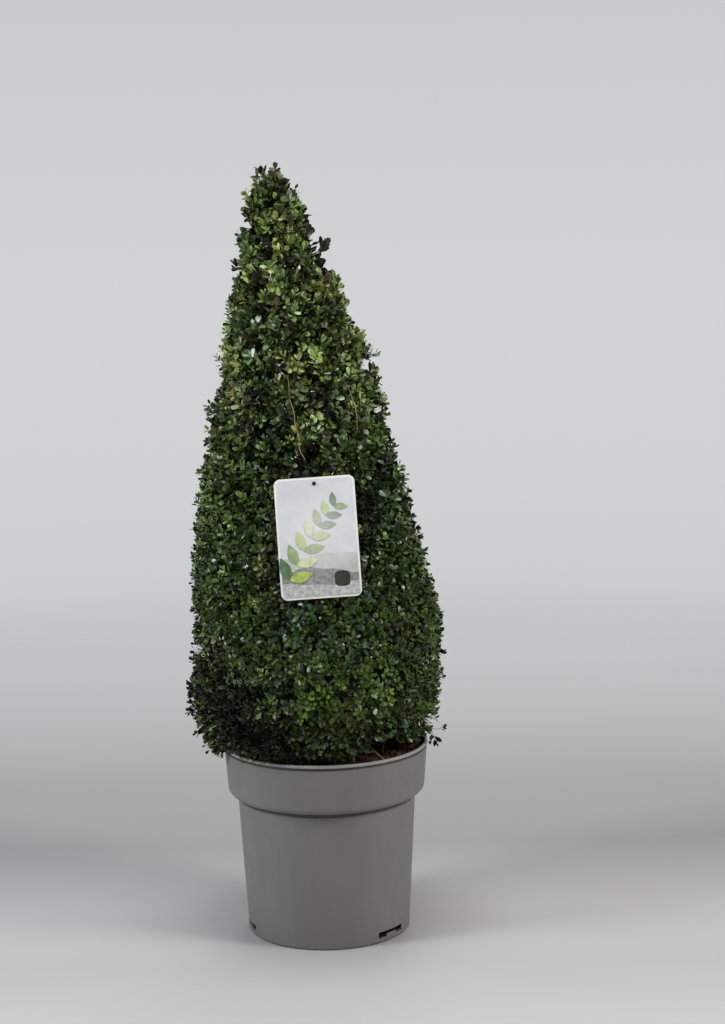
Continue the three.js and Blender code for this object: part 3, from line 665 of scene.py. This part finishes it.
class Crown:
    """The crown's outer surface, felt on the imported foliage: a centre line, and radii by angle and height."""

    def __init__(self, rows=120, columns=120):
        self.low = min(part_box(name)[0].z for name in FOLIAGE_NODES)
        self.high = max(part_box(name)[1].z for name in FOLIAGE_NODES)
        self.heights = np.linspace(self.low + 1 * MM, self.high - 2 * MM, rows)
        self.angles = np.arange(columns) * TURN / columns
        points, faces = [], []
        for mesh in (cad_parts[name].data for name in FOLIAGE_NODES):
            faces += [[len(points) + corner for corner in face.vertices] for face in mesh.polygons]
            points += [vertex.co for vertex in mesh.vertices]
        tree = BVHTree.FromPolygons(points, faces)
        self.line = self.feel_centre(tree)
        felt = np.array([[self.feel(tree, angle, z) for angle in self.angles] for z in self.heights])
        self.foot = self.heights[(~np.isnan(felt)).argmax(axis=0)]
        self.radii = self.tidied(felt)
        grid = self.point(*np.meshgrid(self.angles, self.heights))
        for angle, z, reach, rise in RELIEF:
            self.radii += rise * MM * self.nearness(grid, angle, z, reach)

    def feel_centre(self, tree):
        levels = self.heights[self.heights > SKIRT_TOP]
        sides = [[tree.ray_cast(Vector((-s, 0, z)), Vector((s, 0, 0)))[0].x for s in (-1, 1)] for z in levels]
        return np.polyfit(levels, np.mean(sides, axis=1), 3)

    def centre(self, z):
        return np.polyval(self.line, np.clip(z, SKIRT_TOP, None))

    def feel(self, tree, angle, z):
        """The radius at an angle and height, or NaN where the crown doesn't reach that low."""
        outward = Vector(level(angle))
        start = Vector((self.centre(z), 0, z)) + outward
        hit = tree.ray_cast(start, -outward)[0]
        radius = 1 - (start - hit).length if hit else 0
        least = min(0.12, 0.24 * (self.high - z))
        return radius if radius > least else np.nan

    def tidied(self, radii):
        """The felt radii with the missing ones taken from above, and without the slits between masses."""
        for row in range(len(radii) - 2, -1, -1):
            radii[row] = np.where(np.isnan(radii[row]), radii[row + 1], radii[row])
        around = [np.roll(radii, step, axis=1) for step in (-1, 0, 1)]
        above, below = np.vstack([radii[1:], radii[-1:]]), np.vstack([radii[:1], radii[:-1]])
        return np.median([*around, above, below], axis=0)

    def radius(self, angle, z):
        """The radius between the felt ones, at an angle and height."""
        rows, columns = self.radii.shape
        row = np.clip(np.interp(z, self.heights, np.arange(rows)), 0, rows - 1.001)
        column = (angle % TURN) / TURN * columns
        top, left = row.astype(int), column.astype(int) % columns
        down, over = row - top, column - np.floor(column)
        upper, lower = (
            self.radii[at, left] * (1 - over) + self.radii[at, (left + 1) % columns] * over
            for at in (top, top + 1))
        return upper * (1 - down) + lower * down

    def foot_height(self, angle):
        return np.interp(angle, self.angles, self.foot, period=TURN)

    def point(self, angle, z, inset=0.0, share=1.0):
        """Places on the surface, or under it by an inset, or at a share of its radius."""
        radius = share * self.radius(angle, z) - inset
        return radius[..., None] * level(angle) + np.stack([self.centre(z), 0 * z, z], axis=-1)

    def nearness(self, points, degrees, z, reach):
        """How near points lie to a spot of the surface, in degrees and mm: 1 at it, 0 far past its reach."""
        spot = self.point(np.radians([degrees]), np.array([z * MM]))
        return np.exp(-(np.linalg.norm(points - spot, axis=-1) / (reach * MM)) ** 2)

    def normal(self, angle, z):
        step_z, step_angle = 8 * MM, 0.08
        along = self.point(angle, z + step_z) - self.point(angle, z - step_z)
        around = self.point(angle + step_angle, z) - self.point(angle - step_angle, z)
        return unit(np.cross(around, along))

    def spread(self, rng, count, spacing):
        """Angles and heights of places dealt evenly over the surface, denser where spacing is small."""
        levels = np.linspace(self.low, self.high, 400)
        girth = np.array([self.radius(self.angles, np.full(len(self.angles), z)).mean() for z in levels])
        share = np.cumsum(girth * np.hypot(1, np.gradient(girth, levels)) / spacing(levels) ** 2)
        z = np.interp((np.arange(count) + 0.5) / count, share / share[-1], levels)
        reach = spacing(z)
        z = z + rng.uniform(-0.4, 0.4, count) * reach
        sway = rng.uniform(-0.4, 0.4, count) * reach / np.maximum(np.interp(z, levels, girth), 0.01)
        angle = np.arange(count) * GOLDEN_ANGLE + sway
        keep = (z > self.foot_height(angle) + 1 * MM) & (z < self.high - 11 * MM)
        return angle[keep], z[keep]


def leaf_length(z):
    return np.interp(z, LEAF_HEIGHTS, LEAF_LENGTHS) * MM


# ---- Limbs ----

def limb_line(name, degree, steps):
    """The centre line of a CAD limb, fitted through its vertices, from its foot to its end."""
    points = np.array([vertex.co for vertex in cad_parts[name].data.vertices])
    direction = UP
    if name != "trunk":
        start = points[np.hypot(*points.T[:2]).argmin()]
        direction = unit(points[np.linalg.norm(points - start, axis=1).argmax()] - start)
    along = points @ direction
    places = np.linspace(along.min(), along.max(), steps)
    return np.stack([np.polyval(np.polyfit(along, axis, degree), places) for axis in points.T], axis=1)


def bark_tube(path, radii, sides, seed):
    """A limb with the relief of fissured bark."""
    points, faces = tubes(path[None], radii[None] * MM, sides)
    centres = np.repeat(path, sides, axis=0)
    drawn_out = points * np.array([1, 1, 0.3])
    relief = 0.07 * wander(drawn_out, 0.009, seed) + 0.05 * wander(points, 0.004, seed + 1)
    relief += 0.06 * np.abs(wander(drawn_out, 0.006, seed + 2))
    return centres + (points - centres) * (1 + relief)[:, None], faces


def make_limbs():
    """The trunk with its root flare, and the boughs that fork from its foot. Returns their lines."""
    thick, thin = 8.6, 2.8
    line = limb_line("trunk", 7, 300)
    flare = 6.5 * np.exp(-(line[:, 2] - line[0, 2]) / (13 * MM))
    radii = thick + (thin - thick) * np.linspace(0, 1, len(line)) ** 0.74 + flare
    line[0, 2] -= 3 * MM
    wood_piece("trunk_bark", bark_tube(line, radii, 28, 41), "bark", ["trunk"])
    boughs = [limb_line(name, 2, 60) for name in BOUGH_NODES]
    tapers = [bark_tube(bough, np.linspace(5.2, 2.9, 60), 16, 50 + 5 * n) for n, bough in enumerate(boughs)]
    wood_piece("bough_bark", joined(tapers), "bark", BOUGH_NODES)
    return [line[6:]] + [bough[8:] for bough in boughs]


def nearest_parent(targets, nodes, fall_cost):
    """For each target, the index of the parent node that is near it and not above it."""
    best = []
    for first in range(0, len(targets), 500):
        apart = targets[first:first + 500, None] - nodes
        fall = np.maximum(0.35 * np.abs(apart).sum(-1) - apart[..., 2], 0)
        best.append((np.linalg.norm(apart, axis=-1) + fall_cost * fall).argmin(axis=1))
    return np.concatenate(best)


def fork(rng, parents, targets, fall_cost, lift, sway):
    """Starts, bends and ends of curves from the nearest parent nodes out to targets, turning up."""
    starts = parents[nearest_parent(targets, parents, fall_cost)]
    spans = np.linalg.norm(targets - starts, axis=1, keepdims=True)
    bends = (starts + targets) / 2 + rng.normal(size=targets.shape) * sway * spans - UP * lift * spans
    return starts, bends, targets


def make_branches(crown, lines):
    """Branches off the trunk and boughs, and leafy branchlets off the branches. Returns the points that
    shoots can leave from, and the branchlets as shoots.
    """
    rng = np.random.default_rng(61)
    angle, z = crown.spread(rng, BRANCH_COUNT, lambda height: 0.055 + 0 * height)
    ends = crown.point(angle, z + 6 * MM, share=0.58)
    branches = bezier(*fork(rng, np.concatenate(lines), ends, 1.6, 0.10, 0.05), 14)
    radii = np.linspace(3.4, 1.6, 14) * MM * np.interp(z, [0.3, 1.0], [1.0, 0.6])[:, None]
    angle, z = crown.spread(rng, BRANCHLET_COUNT, lambda height: 0.9 * leaf_length(height) + 16 * MM)
    curves = fork(rng, branches[:, 5:].reshape(-1, 3), crown.point(angle, z, share=0.84), 1.2, 0.08, 0.06)
    branchlets = bezier(*curves, 8)
    small = np.linspace(1.5, 0.8, 8) * MM * np.ones((len(branchlets), 1))
    wood_piece("branches", tubes(branches, radii, 8), "branch_bark")
    wood_piece("branchlets", tubes(branchlets, small, 5), "branch_bark")
    # The branchlets' leaves are near-black, painted shade in the depth of the crown.
    leafy = Shoots(*curves, leaf_length(z) * 1.15, np.full(len(z), "shade"))
    return np.concatenate([branchlets[:, 2:].reshape(-1, 3), branches[:, 9:].reshape(-1, 3)]), leafy


# ---- Shoots and leaves ----

def leaf_faces(rows):
    """Triangles of one leaf: vertices are its base, then left, middle and right of each row, then its tip."""
    faces = [(0, 2, 1), (0, 3, 2)]
    for a in range(1, 3 * rows - 2, 3):
        faces += [(a, a + 1, a + 4), (a, a + 4, a + 3), (a + 1, a + 2, a + 5), (a + 1, a + 5, a + 4)]
    last, tip = 3 * rows - 2, 3 * rows + 1
    return np.array(faces + [(last, last + 1, tip), (last + 1, last + 2, tip)])


def leaf_points(bases, axes, normals, lengths, widths, folds, curls, rows):
    """Vertices (n, vertices, 3) of leaves: obovate, folded along the midrib and bent along their length."""
    normals = unit(normals - (normals * axes).sum(-1, keepdims=True) * axes)
    sides = np.cross(axes, normals)
    places = [(0.0, 0.0, 0.0)]
    for along, width in rows:
        places += [(along, -width, width), (along, 0.0, 0.0), (along, width, width)]
    along, across, fold = np.array(places + [(0.99, 0.0, 0.0)]).T[:, :, None]
    bases, axes, sides, normals = (vectors[:, None] for vectors in (bases, axes, sides, normals))
    lengths, half_widths, folds, curls = (
        values[:, None, None] for values in (lengths, widths / 2, folds, curls))
    down = curls * along**2 * lengths + folds * fold * half_widths
    return bases + axes * along * lengths + sides * across * half_widths - normals * down


def in_sky_gap(points):
    hit = np.zeros(points.shape[:-1], bool)
    for x, z, radius in SKY_GAPS:
        sight = unit(np.array([x, 0, z]) * MM - CAMERA_PLACE)
        along = (points - CAMERA_PLACE) @ sight
        hit |= np.linalg.norm(points - CAMERA_PLACE - along[..., None] * sight, axis=-1) < radius * MM
    return hit


def blocked(points):
    """Which points lie in the room of the label or the pot's wall, under the soil, or over the front rim."""
    right, up, forward = (((points - TAG_CENTRE) @ axis) / MM for axis in TAG_AXES)
    in_tag = (np.abs(right) < TAG_WIDTH / 2 + CLEARANCE) & (np.abs(up) < TAG_HEIGHT / 2 + CLEARANCE)
    in_tag &= (forward > TAG_ROOM[0]) & (forward < TAG_ROOM[1])
    radius, z = np.hypot(points[..., 0], points[..., 1]) / MM, points[..., 2] / MM
    in_wall = (radius > WALL_ROOM[0]) & (radius < WALL_ROOM[1]) & (z < POT_HEIGHT + CLEARANCE)
    in_soil = (radius < BEND_RADIUS) & (z < SOIL_Z + 1)
    in_front = points[..., 1] < -0.4 * np.abs(points[..., 0])
    over_rim = in_front & (radius > RIM_ROOM[0]) & (z < RIM_ROOM[1])
    return in_tag | in_wall | in_soil | over_rim | in_sky_gap(points)


class Shoots:
    """Leafy shoots: where each stem starts, bends and ends, its leaf length and its kind of green."""

    def __init__(self, starts, bends, tips, sizes, kinds, openness=1.0):
        self.starts, self.bends, self.tips = starts, bends, tips
        self.sizes, self.kinds, self.openness = sizes, kinds, np.broadcast_to(openness, sizes.shape)

    def kept(self, keep):
        parts = (self.starts, self.bends, self.tips, self.sizes, self.kinds, self.openness)
        return Shoots(*(part[keep] for part in parts))

    def at(self, t):
        """Points and directions on the stems at shares t (n, k) of their way, from start to tip."""
        t = t[..., None]
        start, bend, tip = self.starts[:, None], self.bends[:, None], self.tips[:, None]
        return curve(start, bend, tip, t), unit(2 * (1 - t) * (bend - start) + 2 * t * (tip - bend))

    def stems(self, steps, sides):
        paths = bezier(self.starts, self.bends, self.tips, steps)
        return tubes(paths, self.sizes[:, None] * np.linspace(0.055, 0.03, steps), sides)

    def leaves(self, rng, pairs, rows, ladder=LADDER):
        """Leaves (n, vertices, 3) in crossed pairs, with the kind and the tip of each one's shoot."""
        shape = (len(self.tips), pairs)
        ladder = np.array(ladder[:pairs])
        spread = np.radians(np.interp(ladder, LADDER, LADDER_SPREAD))
        growth = np.interp(ladder, LADDER, LADDER_SIZE)
        length = np.linalg.norm(self.tips - self.starts, axis=1)
        down = ladder * self.sizes[:, None] * rng.uniform(0.85, 1.15, shape)
        points, stems = self.at(np.clip(1 - down / length[:, None], 0.12, 0.99))
        side, other = square_to(stems)
        roll = rng.uniform(0, TURN, (shape[0], 1)) + np.arange(pairs) * TURN / 4
        roll = roll + rng.normal(size=shape) * 0.22
        open_by = self.openness[:, None]
        made = []
        for half in (0, math.pi):
            around = (roll + half)[..., None]
            outward = np.cos(around) * side + np.sin(around) * other
            tilt = (spread * open_by + rng.normal(size=shape) * 0.2 * open_by)[..., None]
            made.append((
                np.cos(tilt) * stems + np.sin(tilt) * outward,
                points + outward * self.sizes[:, None, None] * 0.05,
                np.sin(tilt) * stems - np.cos(tilt) * outward,
                (self.sizes[:, None] * growth * rng.uniform(0.82, 1.15, shape))[..., None]))
        axes, bases, normals, lengths = (
            np.stack(pair, axis=2).reshape(-1, pair[0].shape[-1]) for pair in zip(*made))
        lengths, total = lengths[:, 0], len(lengths)
        axes = unit(axes + rng.normal(size=(total, 3)) * 0.10)
        outside = unit(bases * np.array([1, 1, 0]) - np.array([-0.02, 0, 0]))
        normals = unit(normals + 0.30 * UP + 0.35 * outside + rng.normal(size=(total, 3)) * 0.22)
        widths = lengths * rng.uniform(0.50, 0.66, total)
        folds, curls = rng.uniform(-0.28, 0.20, total), rng.uniform(-0.05, 0.22, total)
        leaves = leaf_points(bases, axes, normals, lengths, widths, folds, curls, rows)
        return leaves, np.repeat(self.kinds, 2 * pairs), np.repeat(self.tips, 2 * pairs, axis=0)


def leaf_pieces(name, leaves, kinds, slot="foliage", replaced=()):
    """Joins the leaves of each kind into a piece, without those that something blocks."""
    corners = leaves.shape[1]
    for kind in [kind for kind in KINDS if kind in kinds]:
        chosen = leaves[kinds == kind]
        chosen = chosen[~blocked(chosen).any(axis=1)]
        faces = leaf_faces(corners // 3) + np.arange(len(chosen))[:, None, None] * corners
        material = leaf_material(kind, slot == "young_foliage")
        new_piece(
            f"{name}_{kind}", chosen.reshape(-1, 3), [faces.reshape(-1, 3)], material, slot, replaced)


# ---- Crown ----

def patch_pull(crown, points):
    """How strongly the patches draw each point to each kind: (kinds, points)."""
    return np.array([
        sum(strength * crown.nearness(points, *spot) for *spot, strength in PATCHES.get(kind, ()))
        + np.zeros(len(points)) for kind in KINDS])


def deal_kinds(rng, crown, points):
    """A kind of green for each shoot: drifts of colour over the crown, and patches in their places."""
    z = points[:, 2]
    drift, clump, other = wander(points, 0.19, 71), wander(points, 0.055, 72), wander(points, 0.075, 73)
    high, top = np.clip((z - 0.55) / 0.35, 0, 1), np.clip((z - 0.86) / 0.1, 0, 1)
    weights = {
        "deep": 1.5 - 0.5 * drift + 0.5 * np.clip(-clump, 0, 1),
        "mid": 1.6 + 0.4 * drift,
        "fresh": 0.30 + 0.8 * np.clip(clump, 0, 1) + 0.25 * high + 0.9 * top,
        "cool": 0.45 + 0.6 * np.clip(-drift, 0, 1),
        "olive": 0.18 + 0.9 * high * np.clip(other + 0.3, 0, 1),
        "bronze": 0.15 + 0.7 * np.clip(-other - 0.35, 0, 1) * (0.4 + high),
        # Near-black leaves in clumps, painted shade among the others.
        "shade": 0.25 + 0.8 * np.clip(-clump - 0.4, 0, 1),
        "lime": 0.03 + 0.10 * high * np.clip(clump, 0, 1),
        "straw": 0.012 + 0 * z,
    }
    share = np.cumsum(np.array([weights[kind] for kind in KINDS]) + patch_pull(crown, points), axis=0)
    drawn = rng.random(len(points)) * share[-1]
    return np.array(KINDS)[(drawn > share).sum(axis=0)]


def grown(parents, tips, headings, sizes, kinds, openness=1.0):
    """Shoots whose stems leave the nearest branchlets and end at their tips along their headings."""
    starts = parents[nearest_parent(tips, parents, 0.8)]
    spans = np.linalg.norm(tips - starts, axis=1, keepdims=True)
    bends = tips - headings * np.minimum(0.55 * spans, 3.0 * sizes[:, None])
    return Shoots(starts, bends, tips, sizes, kinds, openness)


def outer_shoots(rng, crown, parents):
    """The clipped surface: shoots that end close under it and point out and up."""
    angle, z = crown.spread(rng, SHOOT_COUNT, leaf_length)
    count = len(z)
    sizes = leaf_length(z) * rng.uniform(0.85, 1.12, count)
    surface, normal = crown.point(angle, z), crown.normal(angle, z)
    droop = np.clip(1 - (z - crown.foot_height(angle)) / 0.035, 0, 1)[:, None]
    rise = np.interp(z, [0.6, 1.0], [0.5, 0.95])[:, None]
    lift = UP * (rise * (1 - droop) - 0.45 * droop)
    headings = unit(0.8 * normal + lift + 0.36 * rng.normal(size=(count, 3)))
    uneven = np.interp(z, [0.45, 0.75], [2.2, 5.5]) * MM
    hollows = 5 * MM * np.clip(wander(surface, 0.03, 74), 0, 1) * np.clip((z - 0.4) / 0.3, 0.3, 1)
    depth = 0.5 * sizes + uneven * (1 + rng.normal(size=count)) + hollows
    tips = surface - normal * depth[:, None]
    return grown(parents, tips, headings, sizes, deal_kinds(rng, crown, tips))


def under_shoots(rng, crown, parents):
    """A second layer that closes the crown behind the first, in darker kinds of green as painted shade."""
    angle, z = crown.spread(rng, UNDER_SHOOT_COUNT, leaf_length)
    count = len(z)
    sizes = leaf_length(z) * rng.uniform(0.9, 1.1, count)
    normal = crown.normal(angle, z)
    headings = unit(0.7 * normal + 0.5 * UP + 0.5 * rng.normal(size=(count, 3)))
    tips = crown.point(angle, z) - normal * (sizes + rng.uniform(6, 12, count) * MM)[:, None]
    kinds = np.array([DARKER.get(kind, kind) for kind in deal_kinds(rng, crown, tips)])
    return grown(parents, tips, headings, sizes, kinds)


def hem_shoots(rng, crown, parents):
    """Ragged shoots that hang and spread from the crown's lower edge."""
    bands = [rng.uniform(math.radians(start), math.radians(end), count) for start, end, count in HEM_BANDS]
    angle = np.concatenate([rng.uniform(0, TURN, HEM_SHOOT_COUNT), *bands])
    count = len(angle)
    drop = rng.uniform(4, 18, count) * (np.arange(count) >= HEM_SHOOT_COUNT)
    above, lowest = (rng.uniform(-2, 16, count) - drop) * MM, 251 * MM
    z = np.maximum(crown.foot_height(angle) + above, lowest)
    sizes = rng.uniform(9, 12.5, count) * MM
    headings = unit(0.8 * level(angle) - 0.55 * UP + 0.45 * rng.normal(size=(count, 3)))
    tips = crown.point(angle, z, inset=(rng.uniform(4, 22, count) + 0.9 * drop) * MM)
    return grown(parents, tips, headings, sizes, deal_kinds(rng, crown, tips))


def stray_shoots(parents):
    x, y, z, sizes, kinds, lean, openness = (np.array(column) for column in zip(*STRAYS))
    tips, lean = np.stack([x, y, z], axis=1) * MM, np.radians(lean)
    headings = np.stack([np.sin(lean), 0 * lean, np.cos(lean)], axis=1)
    return grown(parents, tips, headings, sizes * MM, kinds, openness)


def in_clearing(tips):
    angle = np.degrees(np.arctan2(tips[:, 1], tips[:, 0]))
    return (angle > CLEARING[0]) & (angle < CLEARING[1]) & (tips[:, 2] < CLEARING[2])


def make_bare_twigs(rng, crown, parents):
    """Reddish leafless twigs that show where the crown's foot is thin."""
    count = BARE_TWIG_COUNT
    angle = np.radians(rng.uniform(CLEARING[0] - 15, CLEARING[1] + 20, count))
    z = rng.uniform(0.252, 0.292, count)
    tips = crown.point(angle, z, share=rng.uniform(0.62, 0.99, count))
    headings = unit(level(angle) + UP * rng.uniform(-0.5, 0.6, (count, 1)))
    twigs = grown(parents, tips, headings, np.full(count, 16 * MM), np.full(count, "shade"))
    wood_piece("bare_twigs", twigs.kept(~blocked(tips)).stems(6, 5), "bare_twig_bark")


def make_upright_stems(crown):
    """Pale old stems that come out between the leaves above the label and dip back into the crown."""
    share = np.linspace(0, 1, 20)
    dip = (14 * np.abs(2 * share - 1) ** 3 + 0.8) * MM
    paths = np.array([
        crown.point(np.radians(top + share * (foot - top)), (high + share * (low - high)) * MM, inset=dip)
        for top, high, foot, low in UPRIGHT_STEMS])
    paths += wobble(paths, 1 * MM, 0.03, 91)
    radii = np.linspace(0.45, 0.8, len(share)) * MM * np.ones((len(paths), 1))
    wood_piece("upright_stems", tubes(paths, radii, 6), "old_stem_bark")


def make_crown(lines):
    """Everything that grows on the limbs, given as their lines."""
    crown = Crown()
    parents, leafy = make_branches(crown, lines)
    rng = np.random.default_rng(81)
    outer, under, hem = (make(rng, crown, parents) for make in (outer_shoots, under_shoots, hem_shoots))
    outer, under = (
        layer.kept(~in_clearing(layer.tips) | (rng.random(len(layer.tips)) < CLEARING_SHARE))
        for layer in (outer, under))
    strays = stray_shoots(parents)
    make_bare_twigs(rng, crown, parents)
    make_upright_stems(crown)
    stems = joined([outer.stems(3, 3), under.stems(3, 3), hem.stems(4, 3), strays.stems(5, 4)])
    wood_piece("twigs", stems, "twig_bark")
    leaves, kinds, tips = (np.concatenate(parts) for parts in zip(
        outer.leaves(rng, 5, FULL_LEAF), hem.leaves(rng, 5, FULL_LEAF), strays.leaves(rng, 3, FULL_LEAF)))
    young = tips[:, 2] + 0.012 * wander(tips, 0.07, 75) + 0.03 * wander(tips, 0.004, 76) > YOUNG_HEIGHT
    leaf_pieces("leaves", leaves[~young], kinds[~young], "foliage", OLD_NODES)
    leaf_pieces("young_leaves", leaves[young], kinds[young], "young_foliage", YOUNG_NODES)
    leaf_pieces("inner_leaves", *under.leaves(rng, 4, PLAIN_LEAF)[:2])
    leaf_pieces("shaded_leaves", *leafy.leaves(rng, 9, SMALLEST_LEAF, SHADE_LADDER)[:2])


# ---- Label ----

def on_card(flat, lift):
    """Flat millimetres (..., 2) on the label's face, and a lift from its middle, as places in metres."""
    x, y = flat[..., 0], flat[..., 1]
    bow = TAG_CURL * (0.5 - (y / (TAG_HEIGHT / 2)) ** 2) + 0.5 * (x / (TAG_WIDTH / 2)) ** 2 - x * y / 12_500
    return TAG_CENTRE + MM * np.stack([x, y, lift + bow], axis=-1) @ TAG_AXES


def rounded_sides(width, height, corner, middle=(0, 0)):
    """The left and right sides of a rectangle with round corners, in millimetres, from its foot up."""
    turns = np.linspace(0, TURN / 4, 9)
    up = height / 2 - corner * (1 - np.sin(turns))
    across = width / 2 - corner * (1 - np.cos(turns))
    between = np.linspace(-up[0], up[0], 24)[1:-1]
    y = np.concatenate([-up[::-1], between, up])
    x = np.concatenate([across[::-1], np.full(len(between), width / 2), across])
    return [np.stack([side * x, y], axis=1) + middle for side in (-1, 1)]


def leaf_sides(base, tip, width):
    """The left and right sides of a pointed oval from base to tip."""
    t = np.linspace(0.015, 0.985, 12)[:, None]
    along = tip - base
    across = np.array([-along[1], along[0]]) / np.linalg.norm(along)
    return [base + t * along + side * across * width / 2 * np.sin(np.pi * t**0.85) for side in (1, -1)]


def wave_sides(foot, height, phase):
    """The rolling top of a field across the card, and the foot of the print."""
    reach = TAG_WIDTH / 2 - PRINT_MARGIN
    x = np.linspace(-reach, reach, 33)
    top = foot + height * np.sin(x / 17.0 + phase) + 0.35 * height * np.sin(x / 6.5 + 2 * phase)
    return [np.stack([x, y], axis=1) for y in (top, np.full(len(x), PRINT_MARGIN - TAG_HEIGHT / 2))]


def card_sheet(name, sides, low, high, ink, replaced=(), hole_radius=None):
    """A thin closed sheet on the label, from one side to the other, between two lifts from its middle."""
    share = np.linspace(0, 1, 12)[:, None]
    flat = sides[0][:, None] * (1 - share) + sides[1][:, None] * share
    rings = np.concatenate([on_card(flat, high), on_card(flat[:, ::-1], low)], axis=1)
    piece = new_piece(name, *ringed(rings[None]), print_material(ink), "label_card", replaced)
    piece.data.set_sharp_from_angle(angle=SHARP_ANGLE)
    if hole_radius:
        circle = TAG_HOLE + hole_radius * level(np.arange(24) * TURN / 24)[:, :2]
        carve(piece, [ringed(np.array([[on_card(circle, lift) for lift in (-3, 3)]]))])


def make_label():
    """The plant's card: bare of words, with a plain leafy print in the greens and greys of such cards."""
    face = TAG_THICKNESS / 2
    layer = [face + PRINT_LIFT * step for step in range(5)]
    sheet = rounded_sides(TAG_WIDTH, TAG_HEIGHT, TAG_CORNER)
    print_sheet = rounded_sides(TAG_WIDTH - 2 * PRINT_MARGIN, TAG_HEIGHT - 2 * PRINT_MARGIN, TAG_CORNER - 2)
    card_sheet("label_card", sheet, -face, face, "card", ["tag"], TAG_HOLE_RADIUS)
    card_sheet("print_sky", print_sheet, face, face + 0.05, "sky", (), TAG_HOLE_RADIUS + 0.4)
    fields = (("haze", -22, 3, 0.6), ("path", -40, 4, 2.2), ("gravel", -57, 2, 4.0))
    for at, (ink, *wave) in enumerate(fields):
        card_sheet(f"print_{ink}", wave_sides(*wave), layer[at], layer[at + 1], ink)
    stem = [np.array([-38 + 70 * t, -50 + 96 * t + 10 * math.sin(3 * t)]) for t in np.linspace(0, 1, 8)]
    shades = ("pine", "moss", "lime", "pale", "moss", "lime", "pine")
    for order, (place, following) in enumerate(zip(stem, stem[1:])):
        along = unit(following - place)
        across = np.array([-along[1], along[0]])
        size = 30 - 2.0 * order
        for name, side, lift, shift in (("left", 1, layer[3], 0), ("right", -1, layer[4], 2)):
            tip = place + size * (0.66 * along + 0.75 * side * across)
            title, ink = f"print_leaf_{name}_{order + 1}", shades[(order + shift) % len(shades)]
            card_sheet(title, leaf_sides(place, tip, 0.46 * size), lift, lift + PRINT_LIFT, ink)
    card_sheet("print_seal", rounded_sides(19, 19, 6, (27, -52)), layer[3], layer[4], "dark")
    front, behind = (on_card(np.array([TAG_HOLE]) - [0, 0.6], lift) for lift in (2.5, -34))
    twig = bezier(behind, (behind + front) / 2 - UP * 2 * MM, front, 8)
    wood_piece("label_twig", tubes(twig, np.linspace(1.8, 1.0, 8)[None] * MM, 8), "label_twig_bark")


# ---- Stage, light and camera ----

def make_floor():
    """A pale paper floor, a little in shade behind the object, that fades into the backdrop far away."""
    paint = Paint("floor_paper", 0.75, 0.3)
    near, far, reach = -0.5, 3.5, 12.0
    back = paint.remap(paint.axis("Y"), near, far, 0, 1)
    stops = [((y - near) / (far - near), srgb(tone, tone, tone)) for y, tone in FLOOR_TONES]
    # The floor's tones paint shade behind the object.
    paint.coat({"Base Color": paint.ramp(back, *stops)})
    away = paint.add("VectorMath", {0: paint.place()}, "Value", operation="LENGTH")
    fade, clear = paint.remap(away, 0.9, 2.6, 0, 1), paint.add("BsdfTransparent", {})
    paint.show(paint.add("MixShader", {0: fade, 1: paint.shader.outputs["BSDF"], 2: clear}))
    corners = reach * np.array([(-1, -1, 0), (1, -1, 0), (1, 1, 0), (-1, 1, 0)])
    new_object("floor", corners, [np.arange(4)[None]], paint.material)


def make_backdrop():
    """A glowing globe that only the camera sees: the pale seamless paper far behind in painted light, brightest
    at the horizon.
    """
    radius, top = 13_000, 3
    paint = Paint("backdrop_paper")
    height = paint.remap(paint.axis("Z"), -top, top, 0, 1)
    stops = [((z + top) / (2 * top), srgb(tone - 1, tone, tone + 2)) for z, tone in DOME_TONES]
    paint.show(paint.add("Emission", {"Color": paint.ramp(height, *stops)}))
    paint.tree.nodes.remove(paint.shader)
    turns = np.linspace(-TURN / 4, TURN / 4, 49)
    profile = radius * np.stack([np.cos(turns), np.sin(turns)], axis=1)
    globe = new_object("backdrop", *lathe(profile, 96), paint.material)
    for ray in ("diffuse", "glossy", "transmission", "volume_scatter", "shadow"):
        setattr(globe, f"visible_{ray}", False)


def make_lights():
    """Weak even light from all round, and softboxes that face the middle of the object."""
    world = bpy.data.worlds.new("studio")
    world.use_nodes = True
    background = world.node_tree.nodes["Background"].inputs
    background["Color"].default_value = (0.98, 0.99, 1.0, 1.0)
    background["Strength"].default_value = 0.27
    bpy.context.scene.world = world
    for name, (place, size, power, colour) in SOFTBOXES.items():
        light = bpy.data.lights.new(name, "AREA")
        light.shape = "RECTANGLE"
        light.size, light.size_y = size
        light.energy, light.color = power, colour
        lamp = bpy.data.objects.new(name, light)
        lamp.location = place
        lamp.rotation_euler = (Vector((0, 0, 0.5)) - Vector(place)).to_track_quat("-Z", "Y").to_euler()
        lamp.visible_camera = False
        bpy.context.collection.objects.link(lamp)


def make_camera():
    """The photographer's viewpoint, looking a little down and barely rolled."""
    data = bpy.data.cameras.new("camera")
    data.lens, data.sensor_width = CAMERA_LENS, 36
    camera = bpy.data.objects.new("camera", data)
    camera.location = CAMERA_PLACE
    pitch = Matrix.Rotation(math.radians(90 - CAMERA_DOWN), 3, "X")
    roll = Matrix.Rotation(math.radians(CAMERA_ROLL), 3, "Z")
    camera.rotation_euler = (pitch @ roll).to_euler()
    bpy.context.collection.objects.link(camera)
    bpy.context.scene.camera = camera


make_floor()
make_backdrop()
make_lights()
make_camera()
bpy.context.scene.view_settings.view_transform = "Standard"

make_pot()
make_soil()
make_strewn()
make_dead_twig()
make_crown(make_limbs())
make_label()
